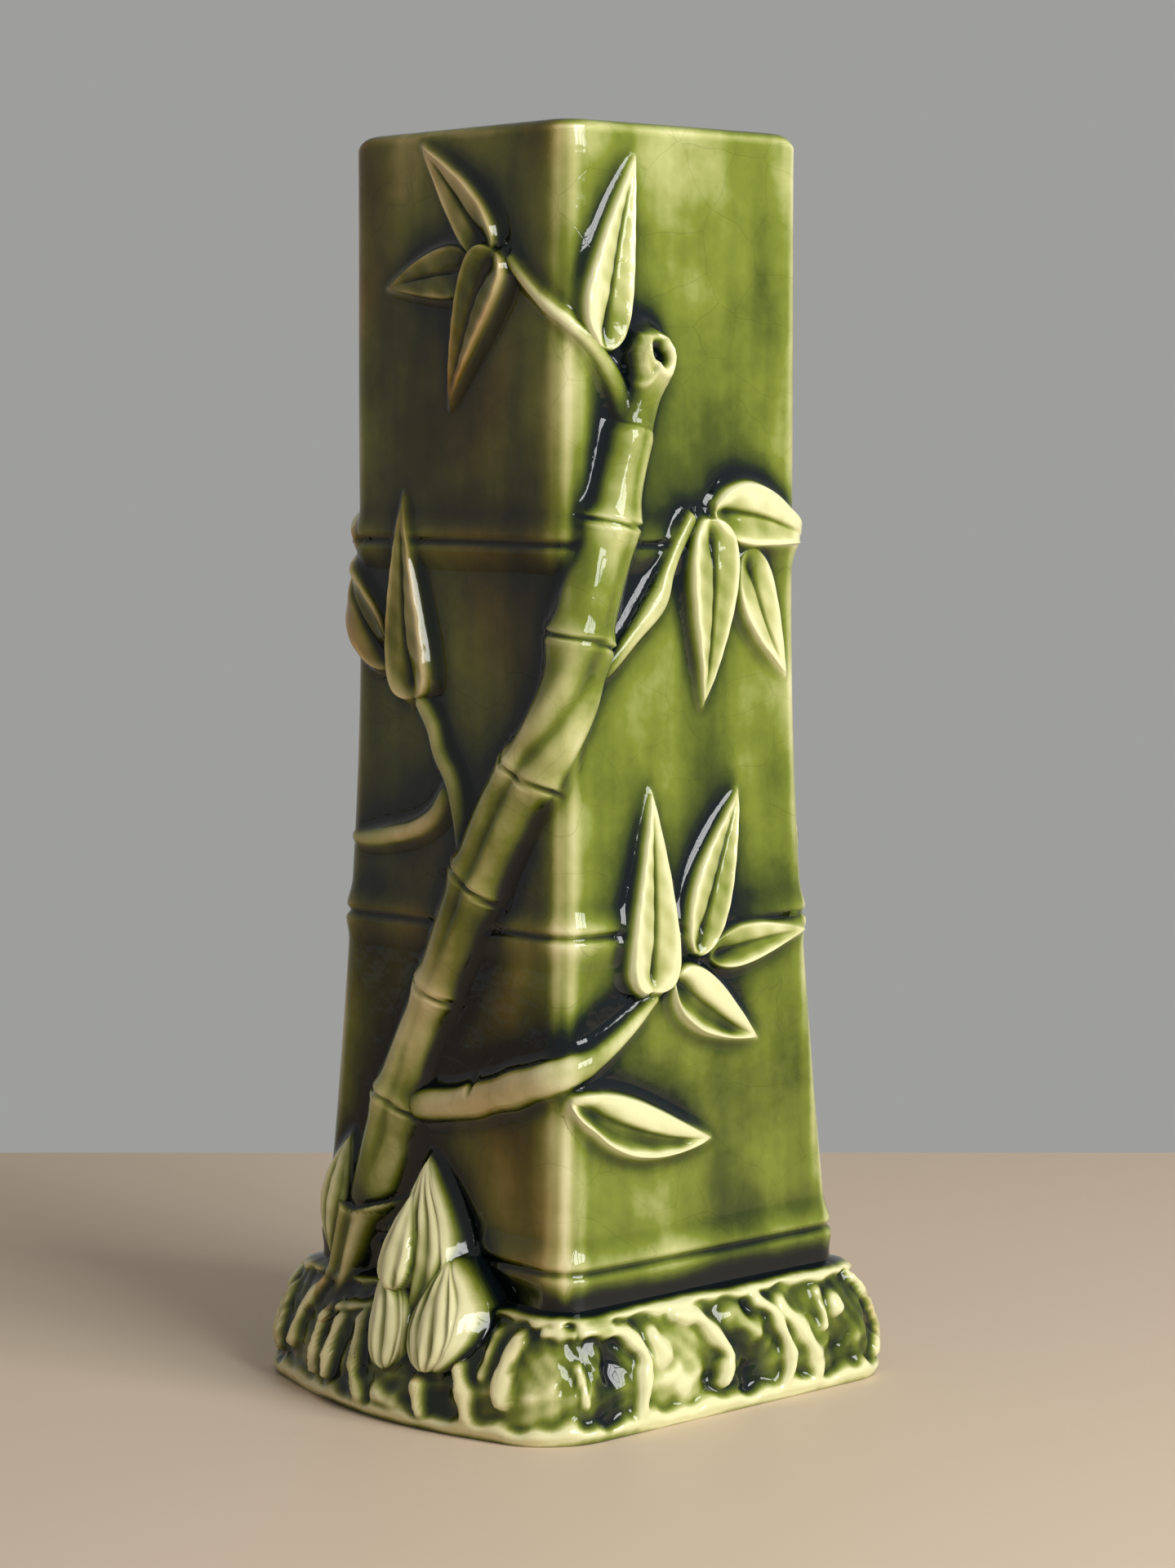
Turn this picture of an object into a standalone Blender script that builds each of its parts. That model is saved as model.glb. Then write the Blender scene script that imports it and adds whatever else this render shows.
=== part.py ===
"""A square glazed vase shaped like a length of bamboo, on a rockwork foot, with bamboo laid round its corners

Run with: blender --background --python part.py

The vase stands on Z = 0 with its axis on Z and its faces square to X and Y. Places on its sides are given as
a run, the distance round the column from the middle of its near corner, in 65ths of the top's width and
towards +X on the front face, and a rise, a percentage of the vase's height. Radii, widths and lifts off the
side are in units of the relief. The relief of one pair of faces is made once, and the other pair carries the
same relief turned half a turn, without the pieces that would stand past the near pair's edges.
"""

import math
import random
from collections import namedtuple

import bmesh
import bpy
from mathutils import Matrix, Vector

MM = 0.001

# The column
HEIGHT = 250 * MM
TOP_WIDTH = 65 * MM
FLARE = 8 * MM
FLARE_HEIGHT = 170 * MM
FLARE_CURVE = 2.0
CORNER_RADIUS = 6 * MM
WALL = 5 * MM
FLOOR = 8 * MM
LIP_ROUND = 1.6 * MM
INNER_CORNER_RADIUS = 3 * MM
OUTER_ROWS = 12
INNER_ROWS = 4
LIP_STEPS = 4
CORNER_STEPS = 6

# The bamboo rings round the column: a groove between two low crests
RING_HEIGHTS = (30.5 * MM, 94.5 * MM, 169.5 * MM)
RING_PROUD = 0.9 * MM
RING_REACH = 6.5 * MM
RING_GROOVE_DEPTH = 0.9 * MM
RING_GROOVE_WIDTH = 2.2 * MM

# The foot
FOOT_HEIGHT = 22.8 * MM
FOOT_OUT = 7.5 * MM
FOOT_CORNER_RADIUS = 14 * MM
FOOT_LEDGE_INSET = 6.6 * MM
FOOT_HEM_INSET = 1.2 * MM
FOOT_BULGE_HEIGHT = 9 * MM
SEAT_HEIGHT = 4 * MM
SEAT_WIDTH = 6 * MM
ROCKS_PER_FACE = 10
ROCK_DEPTH = 2.8 * MM
ROCK_UNEVENNESS = 0.3
ROCK_ORDER = 5
MOUND_DEPTH = 10 * MM
MOUND_REACH = 44 * MM
MOUND_MIDDLE = 4 * MM

# The relief
RUN_UNIT = TOP_WIDTH / 65
RELIEF_UNIT = 1 * MM
GAP = 0.3 * MM
SUNK = 1.5 * MM
LEAF_SIDES = 12
LEAF_STEPS = 8
LEAF_FULLNESS = 0.72
LEAF_BLUNTNESS = 0.85
LEAF_EDGE = 0.42
LEAF_CROWN = 0.8
LEAF_GROOVE = 0.14
NODE_SWELL = 0.9 * MM
NODE_REACH = 2.4 * MM
PATH_STEP = 5 * MM
NODE_CLEAR = 1.6
STALK_SIDES = 10
TWIG_SIDES = 8
STUB_BORE_DEPTH = 4 * MM

Leaf = namedtuple("Leaf", "base tip width bow rise lift")
Point = namedtuple("Point", "run rise radius lift")

# The stalk climbs from the foot at the far end of the left face, round the near corner, to the cut stub
STALK = (
    Point(-62.5, 8.0, 4.4, -0.6),
    Point(-57.9, 13.9, 5.0, -0.9),
    Point(-52.6, 17.4, 6.6, -1.4),
    Point(-46.6, 23.0, 7.1, -1.5),
    Point(-41.6, 28.2, 5.8, -1.1),
    Point(-36.0, 32.4, 5.6, -1.0),
    Point(-30.0, 36.8, 6.4, -1.2),
    Point(-21.6, 42.6, 7.2, -1.5),
    Point(-13.4, 47.8, 7.6, -1.5),
    Point(-5.6, 51.8, 7.2, -1.5),
    Point(0.4, 56.4, 6.0, -1.1),
    Point(4.6, 62.8, 6.7, -1.4),
    Point(9.4, 68.6, 6.7, -1.3),
    Point(11.8, 72.8, 6.0, -1.0),
    Point(13.8, 76.0, 5.9, -0.6),
)
STALK_NODES = (14.8, 23.4, 32.8, 41.6, 60.4, 69.4)

# The cut stub goes on from the stalk's top; its places are measured from there
STUB = (
    Point(0.8, 0.9, 5.6, 0.2),
    Point(3.0, 3.6, 5.4, 1.6),
    Point(4.8, 6.2, 6.0, 2.8),
    Point(5.6, 7.3, 4.8, 3.4),
)
STUB_MOUTH = Point(8.2, 6.6, 2.3, 6.8)

TOP_TWIG_END = Point(-13.2, 89.4, 1.9, 0.6)
TOP_TWIG = (
    TOP_TWIG_END,
    Point(-8.5, 87.4, 1.9, 0.6),
    Point(-0.6, 84.6, 2.0, 0.6),
    Point(5.6, 82.0, 2.1, 0.6),
    Point(10.2, 79.6, 2.6, 0.6),
    Point(12.4, 77.4, 3.2, 0.4),
)
MID_RIGHT_TWIG_END = Point(31.6, 70.6, 2.8, 1.2)
MID_RIGHT_TWIG = (
    Point(8.0, 58.2, 2.2, 0.6),
    Point(15.0, 60.9, 2.3, 0.8),
    Point(20.8, 63.2, 2.4, 0.8),
    Point(23.6, 65.2, 2.4, 0.8),
    Point(27.0, 68.2, 2.6, 1.0),
    MID_RIGHT_TWIG_END,
)
MID_LEFT_TWIG_END = Point(-39.2, 55.2, 2.0, 0.5)
MID_LEFT_TWIG = (
    MID_LEFT_TWIG_END,
    Point(-35.9, 53.3, 2.0, 0.5),
    Point(-33.7, 51.2, 2.1, 0.5),
    Point(-30.2, 49.3, 2.2, 0.5),
    Point(-27.6, 46.4, 2.3, 0.5),
    Point(-26.2, 43.8, 2.4, 0.5),
)
LEFT_BRANCH = (
    Point(-33.6, 49.6, 1.8, 0.2),
    Point(-32.2, 48.0, 2.1, 0.2),
    Point(-35.9, 46.3, 2.0, 0.2),
    Point(-41.6, 45.1, 2.0, 0.2),
    Point(-49.2, 44.4, 2.0, 0.2),
    Point(-58.7, 43.8, 2.0, 0.2),
    Point(-65.4, 44.0, 1.5, 0),
)
LOWER_BRANCH_END = Point(21.6, 32.5, 1.2, 0.4)
LOWER_BRANCH = (
    Point(-40.0, 23.4, 3.4, 0.2),
    Point(-28.0, 24.1, 3.3, 0.2),
    Point(-17.0, 25.3, 3.6, 0.2),
    Point(-6.0, 26.7, 3.7, 0.2),
    Point(1.0, 28.0, 3.5, 0.2),
    Point(8.8, 29.2, 3.0, 0.2),
    Point(15.6, 30.8, 2.2, 0.3),
    LOWER_BRANCH_END,
)

# Leaves: base and tip (run, rise in percent), width, bow, rise, and lift at base and tip
LEAVES = {
    "leaf_top_left_up": Leaf((-18.2, 90.0), (-39.4, 98.6), 9.8, -0.6, 3.0, (0.3, 0)),
    "leaf_top_left_down": Leaf((-17.0, 90.3), (-31.4, 78.6), 12.4, -0.6, 3.4, (0.5, 0)),
    "leaf_top_left_side": Leaf((-22.5, 88.8), (-50.0, 87.7), 11.0, -0.8, 2.2, (0, 0)),
    "leaf_top_right_up": Leaf((7.2, 82.6), (16.0, 97.2), 11.6, 1.4, 3.2, (0.3, 0)),
    "leaf_mid_right_down": Leaf((35.6, 69.7), (34.6, 55.2), 13.6, 0.6, 3.6, (0.5, 0)),
    "leaf_mid_right_side": Leaf((36.6, 70.3), (65.0, 67.6), 13.4, 1.4, 3.2, (0.5, 0)),
    "leaf_mid_right_far": Leaf((46.0, 67.2), (57.8, 57.2), 11.2, -1.5, 2.6, (0, 0)),
    "leaf_mid_left_up": Leaf((-41.4, 55.4), (-45.4, 71.3), 13.4, 0.6, 3.6, (0.3, 0)),
    "leaf_mid_left_edge": Leaf((-48.8, 57.8), (-65.6, 67.0), 11.0, 1.0, 3.2, (0, 0)),
    "leaf_low_up": Leaf((20.0, 33.0), (20.6, 48.5), 13.4, 0, 3.6, (0.4, 0)),
    "leaf_low_up_right": Leaf((33.4, 35.5), (44.2, 48.1), 12.2, 1.6, 3.4, (0.2, 0)),
    "leaf_low_right_side": Leaf((36.0, 35.4), (63.2, 36.5), 10.0, 0.4, 3.0, (0, 0)),
    "leaf_low_down_right": Leaf((26.6, 34.2), (49.8, 28.4), 11.4, -0.6, 3.2, (0.2, 0)),
    "leaf_low_bottom": Leaf((0.8, 25.5), (37.0, 21.0), 11.8, -1.4, 3.4, (0, 0)),
}

# Bamboo shoots at the stalk's foot, in the same terms
SHOOTS = {
    "shoot_small_right": Leaf((-22.8, 4.2), (-26.0, 12.4), 13.0, -0.6, 6.0, (12.5, 4.5)),
    "shoot_small_left": Leaf((-34.0, 3.8), (-41.6, 12.6), 12.6, -0.6, 5.4, (12.5, 5.0)),
    "shoot_tall": Leaf((-32.6, 7.4), (-36.8, 19.2), 18.6, -0.6, 5.6, (7.0, 0.8)),
    "shoot_corner": Leaf((-65.6, 9.6), (-61.5, 19.8), 8.4, 0.6, 3.6, (1.0, 0.2)),
}

# These pieces reach round a far corner, and the turned relief goes without them
FRONT_ONLY = ("leaf_mid_left_edge", "shoot_corner")

GREEN = (0.19, 0.25, 0.045, 1)
OLIVE = (0.15, 0.14, 0.035, 1)
PALE = (0.36, 0.42, 0.12, 1)
STONE = (0.20, 0.23, 0.06, 1)
ROUGHNESS = 0.18


def flare(z):
    """How far a side stands out at height z beyond the top's half width."""
    return FLARE * max(0, 1 - z / FLARE_HEIGHT) ** FLARE_CURVE


def ring(z):
    """How far the rings stand proud at height z."""
    proud = 0
    for height in RING_HEIGHTS:
        away = abs(z - height)
        if away < RING_REACH:
            proud += RING_PROUD * math.cos(math.pi / 2 * away / RING_REACH) ** 0.7
        if away < RING_GROOVE_WIDTH / 2:
            proud -= RING_GROOVE_DEPTH * (1 - 2 * away / RING_GROOVE_WIDTH)
    return proud


def column_half(z):
    """Half the column's width at height z, without its rings."""
    return TOP_WIDTH / 2 + flare(z)


def height_at(rise):
    return HEIGHT * rise / 100


def outline_point(half, radius, run):
    """The point at this run along a rounded square from its near corner's middle, and the way out there."""
    quarter = math.pi / 2 * radius
    turns, along = divmod(run + quarter / 2, 2 * (half - radius) + quarter)
    turned = turns * math.pi / 2
    bend = min(along / radius, math.pi / 2)
    straight = max(along - quarter, 0)
    corner = turned - 0.75 * math.pi
    centre = math.sqrt(2) * (half - radius) * Vector((math.cos(corner), math.sin(corner), 0))
    out = Vector((math.cos(turned + bend - math.pi), math.sin(turned + bend - math.pi), 0))
    return centre + radius * out + straight * Vector((-out.y, out.x, 0)), out


def on_column(run, z, lift):
    """The point at this run and height, lift out of the column's side."""
    point, out = outline_point(column_half(z), CORNER_RADIUS, run)
    return point + lift * out + Vector((0, 0, z))


def collection(name):
    made = bpy.data.collections.new(name)
    bpy.context.scene.collection.children.link(made)
    return made


def glaze(name, colour):
    """A glossy glaze of one colour."""
    material = bpy.data.materials.new(name)
    material.use_nodes = True
    shader = material.node_tree.nodes["Principled BSDF"]
    shader.inputs["Base Color"].default_value = colour
    shader.inputs["Roughness"].default_value = ROUGHNESS
    shader.inputs["Metallic"].default_value = 0
    material.diffuse_color = colour
    return material


def add_object(name, bm, home, material=None):
    """A mesh object from bm, with its normals facing out."""
    bmesh.ops.recalc_face_normals(bm, faces=bm.faces)
    if bm.calc_volume(signed=True) < 0:
        bmesh.ops.reverse_faces(bm, faces=bm.faces)
    mesh = bpy.data.meshes.new(name)
    bm.to_mesh(mesh)
    bm.free()
    mesh.shade_smooth()
    mesh.set_sharp_from_angle(angle=math.radians(35))
    if material:
        mesh.materials.append(material)
    made = bpy.data.objects.new(name, mesh)
    home.objects.link(made)
    return made


def as_cutter(obj):
    obj.hide_render = True
    obj.display_type = "WIRE"
    return obj


def cut(obj, cutters, solver="EXACT"):
    for cutter in cutters:
        modifier = obj.modifiers.new(cutter.name, "BOOLEAN")
        modifier.object = cutter
        modifier.operation = "DIFFERENCE"
        modifier.solver = solver


def baked(obj):
    """The object with its modifiers applied to its mesh, less any crumb that a cut left loose."""
    bpy.context.view_layer.update()
    graph = bpy.context.evaluated_depsgraph_get()
    mesh = bpy.data.meshes.new_from_object(obj.evaluated_get(graph))
    obj.modifiers.clear()
    bm = bmesh.new()
    bm.from_mesh(mesh)
    keep_largest(bm)
    bm.to_mesh(mesh)
    bm.free()
    obj.data = mesh
    mesh.name = obj.name
    return obj


def keep_largest(bm):
    """Deletes every loose piece of the mesh but the one with the most faces."""
    pieces = []
    unseen = set(bm.verts)
    while unseen:
        piece = set()
        found = {unseen.pop()}
        while found:
            vert = found.pop()
            piece.add(vert)
            found |= {edge.other_vert(vert) for edge in vert.link_edges} - piece
        unseen -= piece
        pieces.append(piece)
    pieces.sort(key=lambda piece: sum(len(vert.link_faces) for vert in piece))
    for piece in pieces[:-1]:
        bmesh.ops.delete(bm, geom=list(piece), context="VERTS")


def loft(sections):
    """A closed solid through sections of equally many points, the first and last closed with a flat face."""
    bm = bmesh.new()
    rows = [[bm.verts.new(point) for point in section] for section in sections]
    for lower, upper in zip(rows, rows[1:]):
        for i in range(len(lower)):
            bm.faces.new((lower[i - 1], lower[i], upper[i], upper[i - 1]))
    bm.faces.new(rows[0])
    bm.faces.new(rows[-1])
    return bm


def square_section(half, radius, z):
    """The points of a rounded square at height z, with CORNER_STEPS to each corner."""
    quarter = math.pi / 2 * radius
    side = 2 * (half - radius) + quarter
    points = []
    for corner in range(4):
        for step in range(CORNER_STEPS + 1):
            point, _ = outline_point(half, radius, corner * side + quarter * (step / CORNER_STEPS - 0.4999))
            points.append(point + Vector((0, 0, z)))
    return points


def column_heights():
    """The heights of the rows up the column's outside: close at the rings and spaced out between."""
    heights = {SEAT_HEIGHT + GAP, HEIGHT - LIP_ROUND}
    for height in RING_HEIGHTS:
        for share in (-1, -0.72, -0.4, 0.4, 0.72, 1):
            heights.add(height + share * RING_REACH)
        for share in (-0.5, 0, 0.5):
            heights.add(height + share * RING_GROOVE_WIDTH)
    span = HEIGHT - SEAT_HEIGHT
    spaced = [SEAT_HEIGHT + span * row / OUTER_ROWS for row in range(1, OUTER_ROWS)]
    spaced = [z for z in spaced if all(abs(z - near) > RING_REACH / 2 for near in heights)]
    heights = sorted(heights | set(spaced))
    return [z for z in heights if SEAT_HEIGHT + GAP <= z <= HEIGHT - LIP_ROUND]


def outer_sections(grow=0):
    """The column's outside from its underside up, grown all round."""
    return [
        square_section(column_half(z) + ring(z) + grow, CORNER_RADIUS + grow, z) for z in column_heights()
    ]


def make_body(home, material):
    """The hollow column: up the outside, over the rounded lip and down the inside to the floor."""
    sections = outer_sections()
    top = column_half(HEIGHT)
    for step in range(1, 2 * LIP_STEPS):
        angle = math.pi / 2 * step / LIP_STEPS
        inward = WALL / 2 * (1 - math.cos(angle))
        z = HEIGHT - LIP_ROUND + LIP_ROUND * math.sin(angle)
        radius = CORNER_RADIUS + (INNER_CORNER_RADIUS - CORNER_RADIUS) * inward / WALL
        sections.append(square_section(top - inward, radius, z))
    floor = SEAT_HEIGHT + GAP + FLOOR
    for row in range(INNER_ROWS + 1):
        z = HEIGHT - LIP_ROUND + (floor - HEIGHT + LIP_ROUND) * row / INNER_ROWS
        sections.append(square_section(column_half(z) - WALL, INNER_CORNER_RADIUS, z))
    return add_object("vase_body", loft(sections), home, material)


def make_body_cutter(home):
    """The column grown by the gap, solid, so that nothing of the relief is left inside it."""
    sections = outer_sections(GAP)
    lowest = [point - Vector((0, 0, SEAT_HEIGHT)) for point in sections[0]]
    highest = [point + Vector((0, 0, HEIGHT)) for point in sections[-1]]
    return as_cutter(add_object("column_grown", loft([lowest, *sections, highest]), home))


def rock_edges():
    """Where one rock meets the next along half the foot's outline, as shares of the whole outline."""
    chance = random.Random(ROCK_ORDER)
    widths = [1 + ROCK_UNEVENNESS * chance.uniform(-1, 1) for _ in range(2 * ROCKS_PER_FACE)]
    edges = [0]
    for width in widths:
        edges.append(edges[-1] + 0.5 * width / sum(widths))
    return edges


def rock_shares():
    """Shares of the foot's outline, each with how deep it lies: 1 between two rocks, 0 on a rock's face."""
    edges = rock_edges()
    shares = []
    for half in (0, 0.5):
        for start, end in zip(edges, edges[1:]):
            shares.append((half + start, 1))
            shares.append((half + start + 0.3 * (end - start), 0.15))
            shares.append((half + start + 0.7 * (end - start), 0))
    return shares


def foot_rows():
    """Height, inset from the widest, depth of the clefts and swell of the mound for each row up the foot."""
    bulge = FOOT_BULGE_HEIGHT
    above = FOOT_HEIGHT - bulge
    return (
        (0, FOOT_HEM_INSET, 0, 0.94),
        (0.2 * bulge, 0.3 * FOOT_HEM_INSET, 0.2, 1),
        (0.45 * bulge, 0, 1, 1),
        (bulge, 0, 1, 0.9),
        (bulge + 0.5 * above, 0.28 * FOOT_LEDGE_INSET, 1, 0.5),
        (bulge + 0.85 * above, 0.6 * FOOT_LEDGE_INSET, 0.7, 0.16),
        (FOOT_HEIGHT, FOOT_LEDGE_INSET, 0.1, 0),
    )


def mound(point, out):
    """How far the heaped earth round the stalk's foot pushes a point of the foot's outline outwards."""
    away = abs(point.y * math.copysign(1, point.x) - MOUND_MIDDLE)
    if away > MOUND_REACH:
        return 0
    return MOUND_DEPTH * out.x**2 * math.cos(math.pi / 2 * away / MOUND_REACH)


def foot_outside(grow=0):
    """The foot's outer form as a solid block."""
    half = column_half(0) + FOOT_OUT
    sections = []
    for z, inset, cleft, swell in foot_rows():
        width = half - inset + grow
        radius = FOOT_CORNER_RADIUS - inset + grow
        outline = 4 * (2 * (width - radius) + math.pi / 2 * radius)
        section = []
        for share, depth in rock_shares():
            point, out = outline_point(width, radius, share * outline)
            shift = swell * mound(point, out) - cleft * depth * (ROCK_DEPTH - 2 * grow)
            section.append(point + shift * out + Vector((0, 0, z)))
        sections.append(section)
    if grow:
        sections.insert(0, [point - Vector((0, 0, FOOT_HEIGHT)) for point in sections[0]])
        sections.append([point + Vector((0, 0, grow)) for point in sections[-1]])
    return loft(sections)


def make_foot(home, cutters, material):
    """The rockwork foot, with the pocket that the column stands in and the hollow under it."""
    foot = add_object("rockwork_foot", foot_outside(), home, material)
    pocket = [
        square_section(column_half(z) + GAP, CORNER_RADIUS + GAP, z) for z in (SEAT_HEIGHT, 2 * FOOT_HEIGHT)
    ]
    inner = column_half(0) - SEAT_WIDTH
    under = [square_section(inner, CORNER_RADIUS, z) for z in (-SEAT_HEIGHT, 2 * SEAT_HEIGHT)]
    cut(
        foot,
        (
            as_cutter(add_object("column_pocket", loft(pocket), cutters)),
            as_cutter(add_object("foot_hollow", loft(under), cutters)),
        ),
    )
    return baked(foot)


def smooth_path(points, step):
    """Points about a step apart on a smooth curve through the given ones, each (run, z, radius, lift)."""
    known = []
    for place in points:
        size = place.radius * RELIEF_UNIT, place.lift * RELIEF_UNIT
        known.append(Vector((place.run * RUN_UNIT, height_at(place.rise), *size)))
    known = [2 * known[0] - known[1], *known, 2 * known[-1] - known[-2]]
    path = []
    for before, start, end, after in zip(known, known[1:], known[2:], known[3:]):
        steps = max(1, round((end - start).length / step))
        for i in range(steps):
            t = i / steps
            path.append(
                start
                + 0.5 * t * (end - before)
                + t * t * (before - 2.5 * start + 2 * end - 0.5 * after)
                + t * t * t * (1.5 * (start - end) + 0.5 * (after - before))
            )
    path.append(known[-2])
    return path


def swell_nodes(path, rises):
    """Adds the bamboo's nodes to a path that climbs: at each rise a crest between two plain points."""
    nodes = []
    for z in map(height_at, rises):
        here, there = next(pair for pair in zip(path, path[1:]) if pair[0].y <= z < pair[1].y)
        middle = here.lerp(there, (z - here.y) / (there.y - here.y))
        ahead = NODE_REACH * (there - here).normalized()
        nodes.append((middle - ahead, middle + Vector((0, 0, NODE_SWELL, 0)), middle + ahead))
    middles = [crest for _, crest, _ in nodes]
    clear = NODE_CLEAR * NODE_REACH
    plain = [point for point in path if all((point.xy - middle.xy).length > clear for middle in middles)]
    swollen = [point for node in nodes for point in node]
    return sorted(plain + swollen, key=lambda point: point.y)


def tube(name, path, sides, home, material=None, grow=0):
    """A round tube of changing radius along a path on the column, as a closed mesh."""
    curve = bpy.data.curves.new(name, "CURVE")
    curve.dimensions = "3D"
    curve.bevel_depth = 1
    curve.bevel_resolution = sides // 2 - 2
    curve.use_fill_caps = True
    spline = curve.splines.new("POLY")
    ends = grow * (path[0] - path[1]).normalized(), grow * (path[-1] - path[-2]).normalized()
    path = [path[0] + ends[0], *path[1:-1], path[-1] + ends[1]]
    spline.points.add(len(path) - 1)
    for point, (run, z, radius, lift) in zip(spline.points, path):
        point.co = (*on_column(run, z, lift), 1)
        point.radius = radius + grow
    guide = bpy.data.objects.new(name + "_curve", curve)
    home.objects.link(guide)
    bpy.context.view_layer.update()
    graph = bpy.context.evaluated_depsgraph_get()
    mesh = bpy.data.meshes.new_from_object(guide.evaluated_get(graph))
    bm = bmesh.new()
    bm.from_mesh(mesh)
    bmesh.ops.remove_doubles(bm, verts=bm.verts, dist=0.001 * MM)
    bpy.data.objects.remove(guide)
    return add_object(name, bm, home, material)


def leaf_mesh(leaf, grow=0):
    """A leaf or shoot pressed on the column: a sphere drawn out to a point, with a groove for its midrib."""
    base = Vector((leaf.base[0] * RUN_UNIT, height_at(leaf.base[1])))
    tip = Vector((leaf.tip[0] * RUN_UNIT, height_at(leaf.tip[1])))
    width, bow, rise = (size * RELIEF_UNIT for size in (leaf.width, leaf.bow, leaf.rise))
    ahead = (tip - base).normalized()
    base, tip = base - grow * ahead, tip + 2 * grow * ahead
    aside = Vector((-ahead.y, ahead.x))
    bm = bmesh.new()
    bmesh.ops.create_uvsphere(bm, u_segments=LEAF_SIDES, v_segments=LEAF_STEPS, radius=1)
    for vert in bm.verts:
        along = (1 + vert.co.z) / 2
        girth = math.hypot(vert.co.x, vert.co.y)
        across, up = (vert.co.x / girth, vert.co.y / girth) if girth > 0.001 else (0, 0)
        full = max(0, math.sin(math.pi * along**LEAF_FULLNESS)) ** LEAF_BLUNTNESS
        half_width = full * (width / 2 + grow)
        flat = base.lerp(tip, along) + aside * (across * half_width + bow * 4 * along * (1 - along))
        lift = (leaf.lift[0] + (leaf.lift[1] - leaf.lift[0]) * along) * RELIEF_UNIT
        crown = LEAF_EDGE + (1 - LEAF_EDGE) * max(0, up) ** LEAF_CROWN
        if abs(across) < 0.1 and up > 0:
            crown -= LEAF_GROOVE
        proud = lift + rise * math.sqrt(full) * crown + grow
        if up < -0.1:
            proud = -(SUNK + grow) * -up
        vert.co = on_column(flat.x, flat.y, proud)
    return bm


def boxes_meet(first, second):
    for axis in range(3):
        low = [min(corner[axis] for corner in obj.bound_box) for obj in (first, second)]
        high = [max(corner[axis] for corner in obj.bound_box) for obj in (first, second)]
        if max(low) > min(high):
            return False
    return True


def fit(piece, grown, neighbours):
    """Cuts a new piece by the vase and each earlier piece that it meets, and keeps its grown form for later.

    Two cutters that cross on a leaf's thin edge can turn the exact solver's result inside out.
    """
    bpy.context.view_layer.update()
    cut(piece, [other for other in neighbours if boxes_meet(piece, other)], "MANIFOLD")
    neighbours += [as_cutter(grown), as_cutter(turned_twin(grown))]
    return baked(piece)


def turned_twin(obj):
    """A copy of the object, turned half a turn about the vase's axis in its mesh."""
    twin = bpy.data.objects.new(obj.name + "_twin", obj.data.copy())
    twin.data.transform(Matrix.Rotation(math.pi, 4, "Z"))
    obj.users_collection[0].objects.link(twin)
    return twin


def make_tubes(home, cutters, neighbours, material):
    """The stalk, its twigs and its branches."""
    tubes = {
        "stalk": (swell_nodes(smooth_path(STALK, PATH_STEP), STALK_NODES), STALK_SIDES),
        "twig_top_left": (smooth_path(TOP_TWIG, PATH_STEP), TWIG_SIDES),
        "twig_mid_right": (smooth_path(MID_RIGHT_TWIG, PATH_STEP), TWIG_SIDES),
        "twig_mid_left": (smooth_path(MID_LEFT_TWIG, PATH_STEP), TWIG_SIDES),
        "branch_left": (smooth_path(LEFT_BRANCH, PATH_STEP), TWIG_SIDES),
        "branch_lower": (smooth_path(LOWER_BRANCH, PATH_STEP), TWIG_SIDES),
    }
    made = []
    for name, (path, sides) in tubes.items():
        grown = tube(name + "_grown", path, sides, cutters, grow=GAP)
        made.append(fit(tube(name, path, sides, home, material), grown, neighbours))
    return made


def from_stalk_top(point):
    """A point given from the stalk's top, as one on the column."""
    top = STALK[-1]
    return point._replace(run=top.run + point.run, rise=top.rise + point.rise)


def make_stub(home, cutters, neighbours, material):
    """The hollow end of the cut stalk, with its bore turned to the front."""
    path = smooth_path([from_stalk_top(point) for point in STUB], PATH_STEP)
    grown = tube("stub_grown", path, STALK_SIDES, cutters, grow=GAP)
    piece = tube("stub", path, STALK_SIDES, home, material)
    mouth = from_stalk_top(STUB_MOUTH)
    opening = on_column(mouth.run * RUN_UNIT, height_at(mouth.rise), mouth.lift * RELIEF_UNIT)
    inside = on_column(*path[-2].xy, path[-2].w)
    radius = mouth.radius * RELIEF_UNIT
    bm = bmesh.new()
    bmesh.ops.create_cone(
        bm, cap_ends=True, segments=STALK_SIDES, radius1=radius, radius2=radius, depth=2 * STUB_BORE_DEPTH
    )
    bore = as_cutter(add_object("stub_bore", bm, cutters))
    bore.rotation_euler = (opening - inside).to_track_quat("Z", "Y").to_euler()
    bore.location = opening
    cut(piece, [bore])
    return fit(piece, grown, neighbours)


def make_leaves(home, cutters, neighbours, leaves, material):
    made = []
    for name, leaf in leaves.items():
        grown = add_object(name + "_grown", leaf_mesh(leaf, GAP), cutters)
        piece = add_object(name, leaf_mesh(leaf), home, material)
        made.append(fit(piece, grown, neighbours))
    return made


def repeat_behind(pieces, home):
    """The same relief on the other two faces, turned half a turn about the vase's axis."""
    for piece in pieces:
        if piece.name not in FRONT_ONLY:
            copy = bpy.data.objects.new("back_" + piece.name, piece.data)
            copy.rotation_euler.z = math.pi
            home.objects.link(copy)
        piece.name = "front_" + piece.name


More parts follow.
